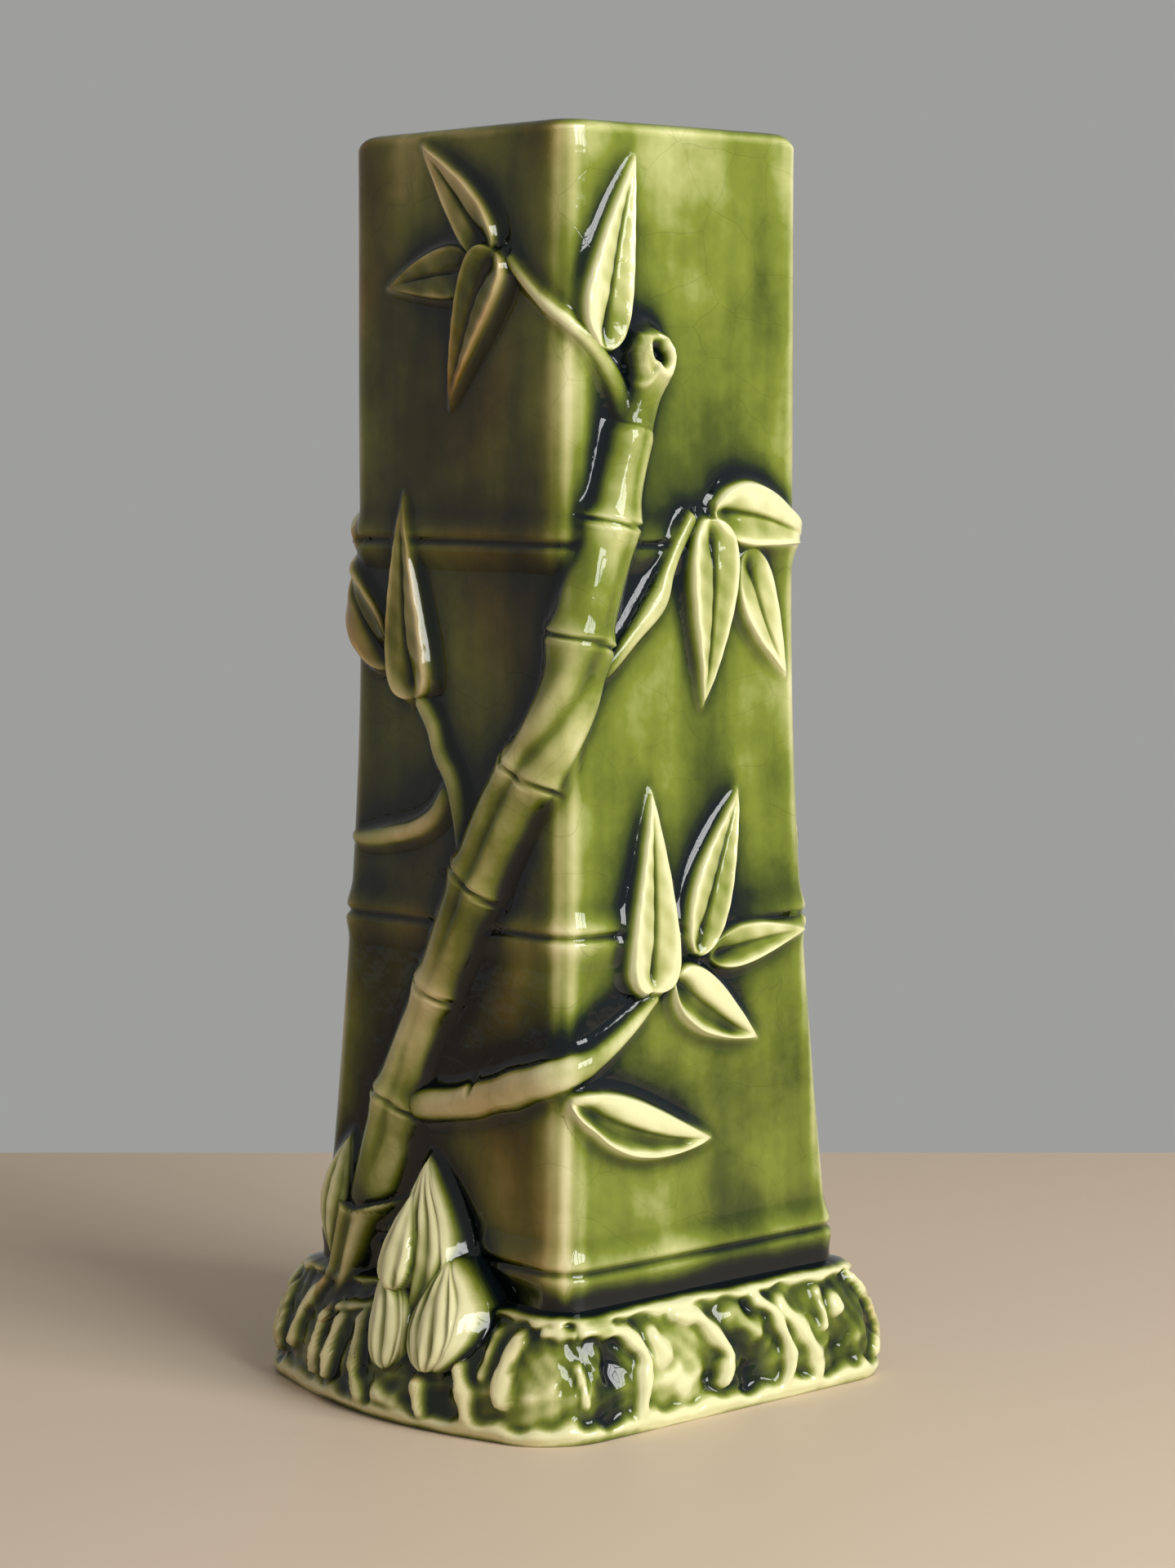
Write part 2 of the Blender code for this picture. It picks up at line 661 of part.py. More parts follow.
def main():
    for obj in list(bpy.data.objects):
        bpy.data.objects.remove(obj)
    home = collection("bamboo_vase")
    cutters = collection("cutters")
    make_body(home, glaze("green_glaze", GREEN))
    make_foot(home, cutters, glaze("rock_glaze", STONE))
    foot_grown = as_cutter(add_object("foot_grown", foot_outside(1.5 * GAP), cutters))
    neighbours = [make_body_cutter(cutters), foot_grown]
    stalk_glaze = glaze("stalk_glaze", OLIVE)
    leaf_glaze = glaze("leaf_glaze", PALE)
    relief = make_tubes(home, cutters, neighbours, stalk_glaze)
    relief.append(make_stub(home, cutters, neighbours, stalk_glaze))
    relief += make_leaves(home, cutters, neighbours, LEAVES, leaf_glaze)
    relief += make_leaves(home, cutters, neighbours, SHOOTS, leaf_glaze)
    repeat_behind(relief, home)


main()
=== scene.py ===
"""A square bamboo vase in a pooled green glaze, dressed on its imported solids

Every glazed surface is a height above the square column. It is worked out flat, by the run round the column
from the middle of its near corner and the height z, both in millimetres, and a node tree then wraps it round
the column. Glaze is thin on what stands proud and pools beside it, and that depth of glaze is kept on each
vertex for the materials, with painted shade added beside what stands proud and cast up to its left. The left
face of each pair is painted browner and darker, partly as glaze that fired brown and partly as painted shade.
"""

import math
from collections import namedtuple
from functools import partial

import bpy
import numpy as np
from bpy.props import FloatProperty, FloatVectorProperty, PointerProperty
from mathutils import Matrix, Vector


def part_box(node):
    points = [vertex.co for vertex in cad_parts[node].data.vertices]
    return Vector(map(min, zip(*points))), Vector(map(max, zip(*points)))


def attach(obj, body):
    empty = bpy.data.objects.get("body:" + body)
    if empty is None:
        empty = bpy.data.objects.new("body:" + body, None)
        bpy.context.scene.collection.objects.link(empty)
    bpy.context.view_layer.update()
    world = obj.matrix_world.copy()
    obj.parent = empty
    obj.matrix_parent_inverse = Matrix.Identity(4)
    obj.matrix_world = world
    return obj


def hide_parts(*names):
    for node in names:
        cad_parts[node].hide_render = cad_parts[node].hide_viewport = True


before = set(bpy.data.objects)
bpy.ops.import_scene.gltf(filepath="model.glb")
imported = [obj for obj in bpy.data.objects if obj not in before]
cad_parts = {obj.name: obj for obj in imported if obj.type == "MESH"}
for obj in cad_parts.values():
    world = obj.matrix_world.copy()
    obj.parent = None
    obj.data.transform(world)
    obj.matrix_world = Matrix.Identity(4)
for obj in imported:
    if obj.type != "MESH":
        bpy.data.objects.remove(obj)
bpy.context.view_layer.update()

bl_info = {
    "name": "Bamboo Vase",
    "version": (1, 0, 0),
    "blender": (4, 5, 0),
    "location": "3D View > Sidebar > Bamboo Vase",
    "description": "Glazed surfaces of a square bamboo vase with raised canes, leaves and a rockwork foot",
    "category": "Add Mesh",
}

MM = 0.001
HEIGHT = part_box("vase_body")[1].z / MM

# The column's rings, lip and inside, in millimetres
RING_HEIGHTS = (30.5, 94.5, 169.5)
RING_PROUD = 1.0
RING_REACH = 6.5
RING_GROOVE = 1.0
RING_GROOVE_WIDTH = 0.8
SEAT = 4.3
FLOOR = 12.3
LIP = 1.6

# The foot, in millimetres: how far it stands out at its widest, its top, how far above that it is tucked into
# the column, and the height at which the way round it is measured. Each of its rows is a height, how far
# inside its widest the foot is there, and how much of the mound's swell shows
FOOT_OUT = 7.4
FOOT_TOP = 22.8
FOOT_TUCK = 1.2
FOOT_LEVEL = 10.0
FOOT_ROWS = (
    (0, 1.2, 0.94),
    (1.8, 0.36, 1),
    (4.05, 0, 1),
    (9, 0, 0.9),
    (15.9, 1.85, 0.5),
    (20.7, 3.96, 0.16),
    (22.8, 6.0, 0),
)
ROCK_DEPTH = 3.1
MOUND_DEPTH = 9.9
MOUND_REACH = 44
MOUND_MIDDLE = 4

# How surfaces run into each other: how much a flank falls for each millimetre beside a piece, then in
# millimetres the fillet of glaze beside it, how far under the ground that begins, how soft a crease is,
# how far the piece's mesh reaches past it, and how far its edge and the ground below it are sunk out of sight
FLANK = 2.6
FILLET = 0.7
FILLET_DEPTH = 5.5
SOFT = 0.8
MARGIN = 2.9
SUNK = 0.03
DIP = 0.3

# Shares: how far out a cane stays round, how wide a leaf is between its edges and how high its edge stands
ROUND_SHARE = 0.92
LEAF_TRIM = 0.9
LEAF_EDGE = 0.86

# How strongly leaves and shoots get lower towards their ends
LEAF_TAPER = 0.35
SHOOT_TAPER = 0.4

# How far apart the points of smooth paths are, along the canes and along the foot's ribs
CANE_STEP = 1.6
RIB_STEP = 2.0

# How far round a piece its surface is worked out, and a distance past anything on the vase
AROUND = 12
FAR = 99.0

# How many vertices go round each corner and each face of the column and of the foot
BODY_SPACING = (12, 70)
FOOT_SPACING = (24, 130)

# How much deeper the glaze lies on what stands proud, where it fired green and where it fired brown with
# painted shade
THICK_TONES = (0.36, -0.05)
CANE_TONES = (0.12, -0.2)
LEAF_TONES = (-0.38, 0.25)
SHOOT_TONES = (-0.6, -0.8)
SLEEVE_TONE = -0.7

# Where on the ramp of its colours an even wall's glaze stands, and how far depth and browning move it; both
# carry painted shade
EVEN_DEPTH = 0.43
POOL_AND_SHADE_SHARE = 0.36
BROWN_AND_SHADE_SHARE = 0.1

# How much of the brown and its painted shade shows on the canes, on the shoots and on the foot
CANE_BROWN_AND_SHADE = 0.55
SHOOT_BROWN_AND_SHADE = 0.2
FOOT_BROWN_AND_SHADE = 0.4

# The window's panes, in metres: their middle, how far to the side each is, their size, and the height that
# they face
WINDOW_MIDDLE = (0.06, -0.85, 0.56)
WINDOW_PANES = (-0.2, 0, 0.2)
PANE_SIZE = (0.18, 0.5)
LIT_HEIGHT = 0.12

# The colour of the light from all round
FILL_COLOUR = (1, 0.97, 0.93, 1)

# What the glaze's colour is multiplied by in a crack
CRACK_TINT = (0.35, 0.33, 0.2)

# For each finish, how uneven its glaze is and how plainly its cracks show
GLAZES = {
    "body_glaze": (0.52, 0.35),
    "rock_glaze": (1.0, 0.1),
    "stalk_glaze": (0.7, 0.3),
    "leaf_glaze": (0.5, 0.1),
}

# The camera, in the photograph's pixels, in millimetres and in radians
PICTURE_HEIGHT = 1920
FOCAL_LENGTH = 4682.5
SENSOR = 36
CAMERA_PLACE = (2.365, -770.7, 188.2)
CAMERA_TURN = 0.039 - math.pi / 4
CAMERA_TILT = 0.088

# A leaf or a shoot: its base and its tip by run and by rise in percent of the height, its width, how far its
# midrib bows to the side, how high it stands, how far off the wall the ground under its base and its tip is,
# how near its tip it is fullest, and how deep a leaf is folded or how many ribs a shoot has
Leaf = namedtuple("Leaf", "base tip width bow rise lift full fold", defaults=(0,))

# Each cane by places along its axis: the run, the rise in percent of the height, the radius and the lift
CANES = {
    "stalk": (
        (-62.5, 8.0, 4.4, -0.6),
        (-57.9, 13.9, 5.0, -0.9),
        (-52.6, 17.4, 6.6, -1.4),
        (-46.6, 23.0, 7.1, -1.5),
        (-41.6, 28.2, 5.8, -1.1),
        (-36.0, 32.4, 5.6, -1.0),
        (-30.0, 36.8, 6.4, -1.2),
        (-21.6, 42.6, 7.2, -1.5),
        (-13.4, 47.8, 7.6, -1.5),
        (-5.6, 51.8, 7.2, -1.5),
        (0.4, 56.4, 6.0, -1.1),
        (4.6, 62.8, 6.7, -1.4),
        (9.4, 68.6, 6.7, -1.3),
        (11.8, 72.8, 6.0, -1.0),
        (13.8, 76.0, 5.9, -0.6),
    ),
    "stub": (
        (14.6, 76.9, 5.2, -0.2),
        (16.4, 79.2, 4.4, 1.2),
        (17.5, 81.0, 4.9, 2.6),
        (17.8, 82.2, 5.1, 2.9),
    ),
    "twig_top_left": (
        (-13.2, 89.4, 1.3, 0.6),
        (-8.5, 87.6, 1.2, 0.6),
        (-0.6, 85.0, 1.3, 0.6),
        (5.6, 82.6, 1.7, 0.6),
        (10.4, 80.0, 2.5, 0.6),
        (13.0, 77.4, 3.6, 0.2),
    ),
    "twig_mid_right": (
        (8.0, 58.2, 1.6, 0.4),
        (15.0, 60.9, 2.2, 0.8),
        (20.8, 63.4, 2.6, 1.0),
        (23.8, 65.6, 2.1, 1.0),
        (26.6, 67.6, 1.7, 1.0),
        (30.2, 69.6, 1.5, 1.0),
    ),
    "twig_mid_left": (
        (-39.2, 55.2, 2.0, 0.5),
        (-35.9, 53.3, 2.0, 0.5),
        (-33.7, 51.2, 2.1, 0.5),
        (-30.2, 49.3, 2.2, 0.5),
        (-27.6, 46.4, 2.3, 0.5),
        (-26.2, 43.8, 2.4, 0.5),
    ),
    "branch_left": (
        (-32.2, 48.0, 2.1, 0.2),
        (-35.9, 46.3, 2.0, 0.2),
        (-41.6, 45.1, 2.0, 0.2),
        (-49.2, 44.4, 2.0, 0.2),
        (-57.0, 43.9, 1.6, 0),
        (-61.4, 43.9, 0.9, -0.3),
    ),
    "branch_lower": (
        (-40.0, 23.4, 3.4, 0.2),
        (-28.0, 24.1, 3.3, 0.2),
        (-17.0, 25.3, 3.6, 0.2),
        (-6.0, 26.7, 3.6, 0.2),
        (1.0, 27.8, 3.1, 0.2),
        (8.8, 29.2, 2.4, 0.2),
        (15.6, 30.8, 1.8, 0.3),
        (21.6, 32.5, 1.0, 0.4),
    ),
}
# The stalk's nodes, by rise in percent of the height, and the height of its sleeve's top in millimetres
STALK_NODES = (23.4, 32.8, 41.6, 50.6, 60.4, 69.4)
SLEEVE_TOP = 35.4
THICK_CANES = ("stalk", "stub")
# The facet where the stub is cut, and the hole beside it: run, height, half width and half height
STUB_CUT = (13.7, 204.9, 2.7, 4.4)
STUB_HOLE = (17.6, 205.8, 1.9, 3.2)

LEAVES = {
    "leaf_top_left_up": Leaf((-18.2, 90.0), (-39.4, 98.6), 9.8, -0.9, 3.0, (0.3, 0), 0.5),
    "leaf_top_left_down": Leaf((-17.0, 90.3), (-31.4, 78.6), 12.0, -0.6, 3.4, (0.5, 0), 0.4),
    "leaf_top_left_side": Leaf((-22.5, 88.8), (-50.0, 87.7), 11.0, -0.8, 2.2, (0, 0), 0.55),
    "leaf_top_right_up": Leaf((7.2, 82.6), (16.0, 97.2), 11.6, 1.6, 3.2, (0.3, 0), 0.52),
    "leaf_mid_right_down": Leaf((35.6, 69.7), (34.6, 55.2), 13.6, 0.6, 3.6, (0.5, 0), 0.5),
    "leaf_mid_right_side": Leaf((36.6, 70.3), (65.0, 67.6), 13.4, 1.6, 3.2, (0.5, 0), 0.6, 0.1),
    "leaf_mid_right_far": Leaf((46.0, 67.2), (57.8, 57.2), 10.6, -1.5, 2.6, (0, 0), 0.58),
    "leaf_mid_left_up": Leaf((-41.4, 55.4), (-45.4, 71.3), 12.6, 0.6, 3.6, (0.3, 0), 0.4),
    "leaf_mid_left_edge": Leaf((-48.8, 57.8), (-65.6, 67.0), 11.0, 1.0, 3.2, (0, 0), 0.6, 0.12),
    "leaf_low_up": Leaf((20.0, 33.0), (20.6, 48.5), 13.6, 0, 3.6, (0.4, 0), 0.4),
    "leaf_low_up_right": Leaf((32.2, 35.5), (44.2, 48.1), 11.2, 1.2, 3.4, (0.2, 0), 0.62),
    "leaf_low_right_side": Leaf((36.0, 35.4), (63.2, 36.5), 8.8, 0.6, 2.6, (0, 0), 0.6, 0.14),
    "leaf_low_down_right": Leaf((26.6, 34.2), (49.8, 28.4), 11.6, -1.2, 3.2, (0.2, 0), 0.58, 0.42),
    "leaf_low_bottom": Leaf((0.8, 25.5), (37.0, 21.0), 11.4, -2.2, 3.4, (0, 0), 0.72, 0.34),
}
SHOOTS = {
    "shoot_small_right": Leaf((-22.8, 4.2), (-25.2, 12.4), 14.0, -0.6, 5.2, (12.2, 4.7), 0.72, 5),
    "shoot_small_left": Leaf((-34.0, 3.8), (-41.6, 12.6), 12.0, -0.6, 5.0, (12.2, 5.0), 0.62, 4),
    "shoot_tall": Leaf((-32.6, 7.4), (-36.8, 19.2), 18.0, -0.6, 4.8, (7.0, 0.8), 0.55, 6),
    "shoot_corner": Leaf((-65.6, 9.6), (-61.5, 19.8), 9.2, 0.6, 3.6, (1.0, 0.2), 1.0, 3),
}
# The bud that stands between the tall shoot's two outer sheaths
INNER_BUD = Leaf((-36.4, 9.4), (-37.4, 16.8), 9.6, 0, 5.2, (8.8, 3.4), 0.6, 3)
# Pieces that have no copy behind
FRONT_ONLY = ("leaf_mid_left_edge", "shoot_corner")

# Ribs and pebbles of the rockwork: a path of run and height, its half width and how far it stands out
ROCKS = (
    (((-4.7, 18.5), (-5.4, 13), (-4.6, 8)), 2.1, 2.7),
    (((-2.2, 20.5), (1.2, 20.2)), 1.6, 1.8),
    (((2.1, 21.0), (7, 20.2), (12.3, 17.5), (14.5, 13), (13.5, 8.5), (13, 3.5)), 2.0, 2.6),
    (((1.5, 14), (2.2, 7.5)), 1.3, 1.6),
    (((17.6, 17.4), (19.4, 14.0)), 2.7, 2.3),
    (((24, 20.6), (29.5, 19.5), (33.5, 15.4), (36.6, 11), (35.3, 6.4)), 2.1, 2.5),
    (((22.0, 9.0), (25.5, 6.2)), 3.4, 1.2),
    (((39.0, 18.6), (44.6, 14.6)), 2.9, 1.9),
    (((46.2, 20.2), (50, 17.6), (52.4, 12.5), (53.8, 7.7), (52.7, 3.2)), 1.8, 2.5),
    (((52.6, 18), (57.8, 12.4), (61.3, 7), (62, 3.8)), 2.5, 2.3),
    (((67.4, 16.6), (67.6, 15.9)), 3.2, 2.7),
    (((63.6, 19.2), (64.6, 12.5)), 1.5, 1.7),
    (((72.7, 20.5), (75.6, 16.3), (77.5, 10.3), (76.6, 4.7)), 1.7, 2.5),
    (((-60.1, 15), (-58.7, 5.2)), 1.3, 2.4),
    (((-54.2, 15.3), (-53.1, 5.2)), 1.4, 2.4),
    (((-47.4, 16.6), (-43.8, 10.7), (-40.5, 3.4)), 1.9, 2.6),
    (((-57, 17.0), (-46.6, 18.8)), 1.2, 1.8),
    (((-35.3, 5.2), (-30.3, 3.9)), 2.3, 2.2),
    (((-24.2, 8.4), (-22.7, 3.4)), 2.0, 2.4),
    (((-15.5, 12.4), (-12.8, 8.3), (-11.4, 3.4)), 1.9, 2.5),
    (((-10.6, 18.8), (-10.2, 12)), 1.5, 1.6),
    (((-64.5, 20.5), (-68, 16), (-69.9, 8.6)), 1.9, 2.3),
    (((-73.6, 17), (-73.9, 6)), 1.6, 2.3),
)
# Pits between the rocks: run, height, half width, half height, depth
PITS = (
    (6.4, 13.2, 2.6, 4.0, 1.6),
    (32.0, 8.0, 2.4, 4.0, 1.3),
    (44.0, 7.2, 3.6, 4.0, 1.8),
    (69.0, 8.4, 3.4, 3.2, 1.5),
    (-50.6, 10.0, 1.5, 5.0, 1.0),
    (-18.6, 7.4, 2.2, 4.0, 1.2),
)
# Places made darker or paler, as where the glaze pools above the lower branch: a path of run and height, its
# reach and how much darker
DARKER_OR_PALER = (
    (((-36, 65.5), (-28, 66), (-17, 69), (-6, 72.5), (1, 75.5), (8, 79.5), (14, 83)), 3.2, 1.1),
    (((-33.5, 68), (-28, 77), (-21.5, 88), (-14, 101), (-8.5, 110)), 2.6, 0.8),
    (((-36, 165), (-36, 208)), 15, 0.35),
    (((-11, 140), (-11, 166)), 7, 0.4),
    (((-44, 108), (-42, 122)), 5, 0.5),
    (((-16, 79), (-11, 88)), 4.5, -0.6),
    (((-4.5, 30), (-4.5, 58)), 3, -0.32),
    (((9, 32), (9, 60)), 5, -0.3),
)


def smooth_max(first, second, soft):
    """The higher of two surfaces, with the crease where they meet filled."""
    return np.maximum(first, second) + crease(first, second, soft)


def crease(first, second, soft):
    """How far the glaze fills the crease where two surfaces meet."""
    return np.clip(soft - np.abs(first - second), 0, None) ** 2 / (4 * soft)


def ease(value, low, high):
    """0 below low, 1 above high, and smooth between."""
    share = np.clip((value - low) / (high - low), 0, 1)
    return share * share * (3 - 2 * share)


def bell(value, middle, reach):
    return np.exp(-(((value - middle) / reach) ** 2))


def half_at(z):
    """Half the column's width at height z."""
    column = bpy.context.scene.vase_column
    left = np.clip(1 - z * MM / column.flare_height, 0, None)
    return (column.top_width / 2 + column.flare * left**column.flare_curve) / MM


def corner_run():
    """Half the run that a rounded corner takes up."""
    return bpy.context.scene.vase_column.corner_radius / MM * math.pi / 4


def side_at(z):
    """The run from the middle of one corner to the middle of the next."""
    radius = bpy.context.scene.vase_column.corner_radius / MM
    return 2 * (half_at(z) - radius + corner_run())


def past_corner(run, z):
    """How far a place is from the middle of the nearest corner."""
    side = side_at(z)
    return np.abs((run / side + 0.5) % 1 - 0.5) * side


def front_run(run, z):
    """The place on the front pair of faces that a place on either pair repeats."""
    side = side_at(z)
    return (run + side) % (2 * side) - side


def column_lift(run, z):
    """The column's own surface: its rings and the slight unevenness of a hand-pressed wall."""
    lift = 0.1 * np.sin(z / 17 + 0.05 * run) + 0.08 * np.sin(run / 11 + 1.3 * np.sin(z / 31))
    for height in RING_HEIGHTS:
        away = np.abs(z - height + 0.25 * np.sin(run / 23))
        lift = lift + RING_PROUD * (0.5 + 0.5 * np.cos(np.pi * np.clip(away / RING_REACH, 0, 1)))
        lift = lift - RING_GROOVE * bell(away, 0, RING_GROOVE_WIDTH)
    return lift * ease(z, SEAT, 12) * (1 - ease(z, HEIGHT - 5, HEIGHT - 1.5))


def mound(run, z):
    """The heaped earth that pushes the foot out under the stalk."""
    side, corner = side_at(z), corner_run()
    near = np.cos(np.clip((run + corner) / (2 * corner), 0, 1) * np.pi / 2)
    far = np.sin(np.clip((run - side + corner) / (2 * corner), 0, 1) * np.pi / 2)
    back = np.cos((corner - side - run) / (2 * corner) * np.pi / 2)
    facing = np.where(run < corner - side, back, np.maximum(near, far)) ** 2
    away = np.abs(side / 2 - np.abs(run) - MOUND_MIDDLE)
    away = np.where(run > side / 2, np.abs(side / 2 + MOUND_MIDDLE - (2 * side - run) + side), away)
    return MOUND_DEPTH * facing * np.cos(np.pi / 2 * np.clip(away / MOUND_REACH, 0, 1))


def foot_run(run, z):
    """The run along the foot's own surface, which goes a longer way round each corner than the column's."""
    corner, side = corner_run(), side_at(z)
    past = (run + side / 2) % side - side / 2
    return run + 1.8 * (np.clip(past, -corner, corner) + (run - past) / side * 2 * corner)


def foot_bound(run, z):
    """The smooth form that the foot's rocks stay inside, as a lift off the column."""
    heights, insets, swells = np.array(FOOT_ROWS).T
    bound = half_at(0) + FOOT_OUT - np.interp(z, heights, insets) - half_at(z)
    return bound + np.interp(z, heights, swells) * mound(run, z)


def rock_stand(run, z):
    """How far the foot's lumps, ribs and pits stand out, by the run along the foot's own surface."""
    lumps = np.sin(run * 0.52 + 1.2 * np.sin(z * 0.29) + 0.7 * np.sin(run * 0.23))
    lumps = lumps * np.cos(z * 0.3 + 0.6 * np.sin(run * 0.4))
    stand = 0.3 + 0.7 * lumps
    whole = foot_run(2 * side_at(FOOT_LEVEL), FOOT_LEVEL)
    for path, reach, height in ROCKS:
        guide = smooth_path([(foot_run(*place), place[1], reach, height) for place in path], RIB_STEP)
        for shift in (0, whole, -whole):
            found = near_path(guide, run + shift, z, 3 * reach + 1)
            wide = np.maximum(found.radius * (1.05 + 0.2 * np.sin(found.along * 0.8 + path[0][0])), 0.5)
            dome = bell(found.away, 0, wide) + 0.25 * np.clip(1 - (found.away / wide) ** 2, 0, 1)
            stand = smooth_max(stand, 1.05 * height * dome, SOFT)
    for place, height, wide, tall, depth in PITS:
        off = (run - foot_run(place, height)) / wide
        stand = stand - depth * np.exp(-(off**2) - ((z - height) / tall) ** 2)
    return stand + 0.22 * np.sin(run * 0.9 + 2 * np.sin(z * 0.45)) * np.sin(z * 0.8 + run * 0.35)


def foot_lift(run, z):
    """The rockwork foot's surface, as a lift off the column."""
    run = front_run(run, z)
    bound = foot_bound(run, z)
    run = foot_run(run, z)
    wavy = 1.2 * np.sin(run * 0.31 + 1.0) + 0.8 * np.sin(run * 0.83)
    hem = ease(z, 1.8 + 0.4 * wavy, 4.6 + 0.6 * wavy)
    ledge = ease(z, 20.6 + 0.3 * wavy, 22.3 + 0.2 * wavy)
    rocky = hem * (1 - ledge)
    lift = bound - rocky * (ROCK_DEPTH - np.minimum(rock_stand(run, z), ROCK_DEPTH))
    lift -= 0.35 * (1 - rocky) * ease(z, 2, 4) * (0.5 + 0.5 * np.sin(run * 0.7 + np.sin(run * 0.31)))
    gone = ease(z, FOOT_TOP - 0.4, FOOT_TOP + FOOT_TUCK)
    return lift * (1 - gone) - 0.8 * gone


def ground(run, z):
    """The lift of the foot or the column, whichever stands further out."""
    lift = column_lift(run, z)
    low = z < FOOT_TOP + FOOT_TUCK
    lift[low] = smooth_max(lift[low], foot_lift(run[low], z[low]), SOFT)
    return lift


def smooth_path(points, step):
    """Places about a step apart on a smooth curve through the given ones."""
    known = np.array(points, float)
    known = np.vstack((2 * known[0] - known[1], known, 2 * known[-1] - known[-2]))
    path = []
    for before, start, end, after in zip(known, known[1:], known[2:], known[3:]):
        steps = max(1, round(float(np.hypot(*(end - start)[:2])) / step))
        for t in np.arange(steps) / steps:
            bend = before - 2.5 * start + 2 * end - 0.5 * after
            turn = 1.5 * (start - end) + 0.5 * (after - before)
            path.append(start + 0.5 * t * (end - before) + t * t * bend + t**3 * turn)
    path.append(known[-2])
    return np.array(path)


Near = namedtuple("Near", "away aside along radius lift")


def near_path(path, run, z, reach):
    """How places lie to a path: how far away, on which side, how far along, and its radius and lift there."""
    away = np.full(run.shape, FAR)
    others = np.zeros((4, *run.shape))
    low, high = path[:, :2].min(0) - reach, path[:, :2].max(0) + reach
    inside = (run > low[0]) & (run < high[0]) & (z > low[1]) & (z < high[1])
    if not inside.any():
        return Near(away, *others)
    x, y = run[inside], z[inside]
    best = np.full(x.shape, FAR)
    found = np.zeros((4, *x.shape))
    travelled = 0
    for start, end in zip(path, path[1:]):
        ahead = end[:2] - start[:2]
        length = np.hypot(*ahead)
        t = np.clip(((x - start[0]) * ahead[0] + (y - start[1]) * ahead[1]) / length**2, 0, 1)
        off = np.hypot(x - start[0] - t * ahead[0], y - start[1] - t * ahead[1])
        side = (y - start[1]) * ahead[0] - (x - start[0]) * ahead[1]
        form = start[2:4, None] + np.outer(end[2:4] - start[2:4], t)
        here = np.array((np.sign(side) * off, travelled + t * length, *form))
        closer = off < best
        best = np.where(closer, off, best)
        found = np.where(closer, here, found)
        travelled += length
    away[inside] = best
    others[:, inside] = found
    return Near(away, *others)


def cane_path(name):
    """A cane's axis in millimetres, as a smooth path with its radius and lift."""
    return smooth_path([(run, rise * HEIGHT / 100, *form) for run, rise, *form in CANES[name]], CANE_STEP)


def lengths_along(path):
    """How far along a path each of its points is."""
    return np.concatenate(([0], np.cumsum(np.hypot(*np.diff(path[:, :2], axis=0).T))))


def stalk_form(found, z, path):
    """The bamboo stalk's nodes and flutes and, at its foot, the sleeve with two folds."""
    across = found.aside / np.maximum(found.radius, 1)
    more = np.zeros(z.shape)
    for rise in STALK_NODES:
        node_at = np.interp(rise * HEIGHT / 100, path[:, 1], lengths_along(path))
        past = found.along - node_at + 0.6 * np.sin(1.7 * across + rise)
        more += 0.5 * bell(past, 1.3, 2.2) + 0.5 * bell(past, -1.9, 2.6) - 0.8 * bell(past, 0, 0.5)
        more += 0.3 * bell(past, 0.75, 0.5) + 0.25 * bell(past, -0.8, 0.6)
    fluted = ease(z, 40, 55) * (0.6 + 0.4 * np.sin(z / 14 - 7.5))
    more += fluted * (0.45 * bell(across, 0.3, 0.2) - 0.75 * bell(across, -0.15, 0.17))
    more += 0.3 * bell(across, -0.45, 0.25) * np.sin(z / 13) + 0.2 * np.sin(z / 9 + 2 * across)
    lip = z - SLEEVE_TOP - 2.6 * np.abs(across) ** 1.5
    sleeve = 1 - ease(lip, -0.3, 0.3)
    folds = 0.55 * bell(np.abs(across), 0.62, 0.24) - 0.75 * bell(across, 0.05, 0.28)
    return more + sleeve * (folds + 0.9 + 0.3 * bell(lip, -0.8, 0.8)) - (1 - sleeve) * 0.6 * bell(lip, 0, 1.6)


def stub_form(height, run, z):
    """The cut end of the stub: an oval facet with a rim, and the deep hollow beside it."""
    middle, level, wide, tall = STUB_CUT
    facet = np.hypot((run - middle) / wide, (z - level) / tall)
    plane = 6.3 + 0.12 * (run - middle)
    cut = height + (np.minimum(height, plane) - height) * (1 - ease(facet, 0.85, 1.05))
    cut += 0.6 * bell(facet, 1.12, 0.16) * ease(16.5 - run, 0, 2)
    middle, level, wide, tall = STUB_HOLE
    over, up = run - middle, z - level
    hole = np.hypot((0.87 * over + 0.5 * up) / wide, (0.87 * up - 0.5 * over) / tall)
    return cut - 4.5 * (1 - ease(hole, 0.35, 1.1)) + 0.4 * bell(hole, 1.35, 0.25)


def cane_core(name, run, z):
    """The height of a cane, twig or branch, falling away steeply beside it."""
    path = cane_path(name)
    found = near_path(path, run, z, AROUND)
    radius = found.radius
    if name == "stalk":
        radius = radius + stalk_form(found, z, path)
    if name == "branch_lower":
        radius = radius + 0.2 * np.sin(found.along / 2.1) * bell(found.along, 24, 16)
        radius = radius - 0.7 * bell(found.along, 17.5, 0.8) * ease(found.aside, 0, 2)
    if name == "twig_mid_right":
        radius = radius + 0.15 * np.sin(found.along * 0.4 + 1) + 0.12 * bell(found.aside, 0.8, 0.5)
    radius = np.maximum(radius, 0.5)
    share = np.minimum(found.away / radius, ROUND_SHARE)
    beside = np.clip(found.away - ROUND_SHARE * radius, 0, None)
    height = found.lift + radius * np.sqrt(1 - share**2) - FLANK * beside
    if name == "stub":
        height = stub_form(height, run, z)
    return np.where(found.away == FAR, -FAR, height)


def leaf_full(leaf, along):
    """How full a leaf is at a share of its length: rounded at its base and drawn out to a point."""
    return np.clip(np.sin(np.pi * np.clip(along, 0, 1) ** leaf.full), 0, 1) ** 0.9


def leaf_half(leaf, along):
    """Half a leaf's width between its edges, inside the flanks that it stands on."""
    return LEAF_TRIM * leaf.width / 2 * leaf_full(leaf, along)


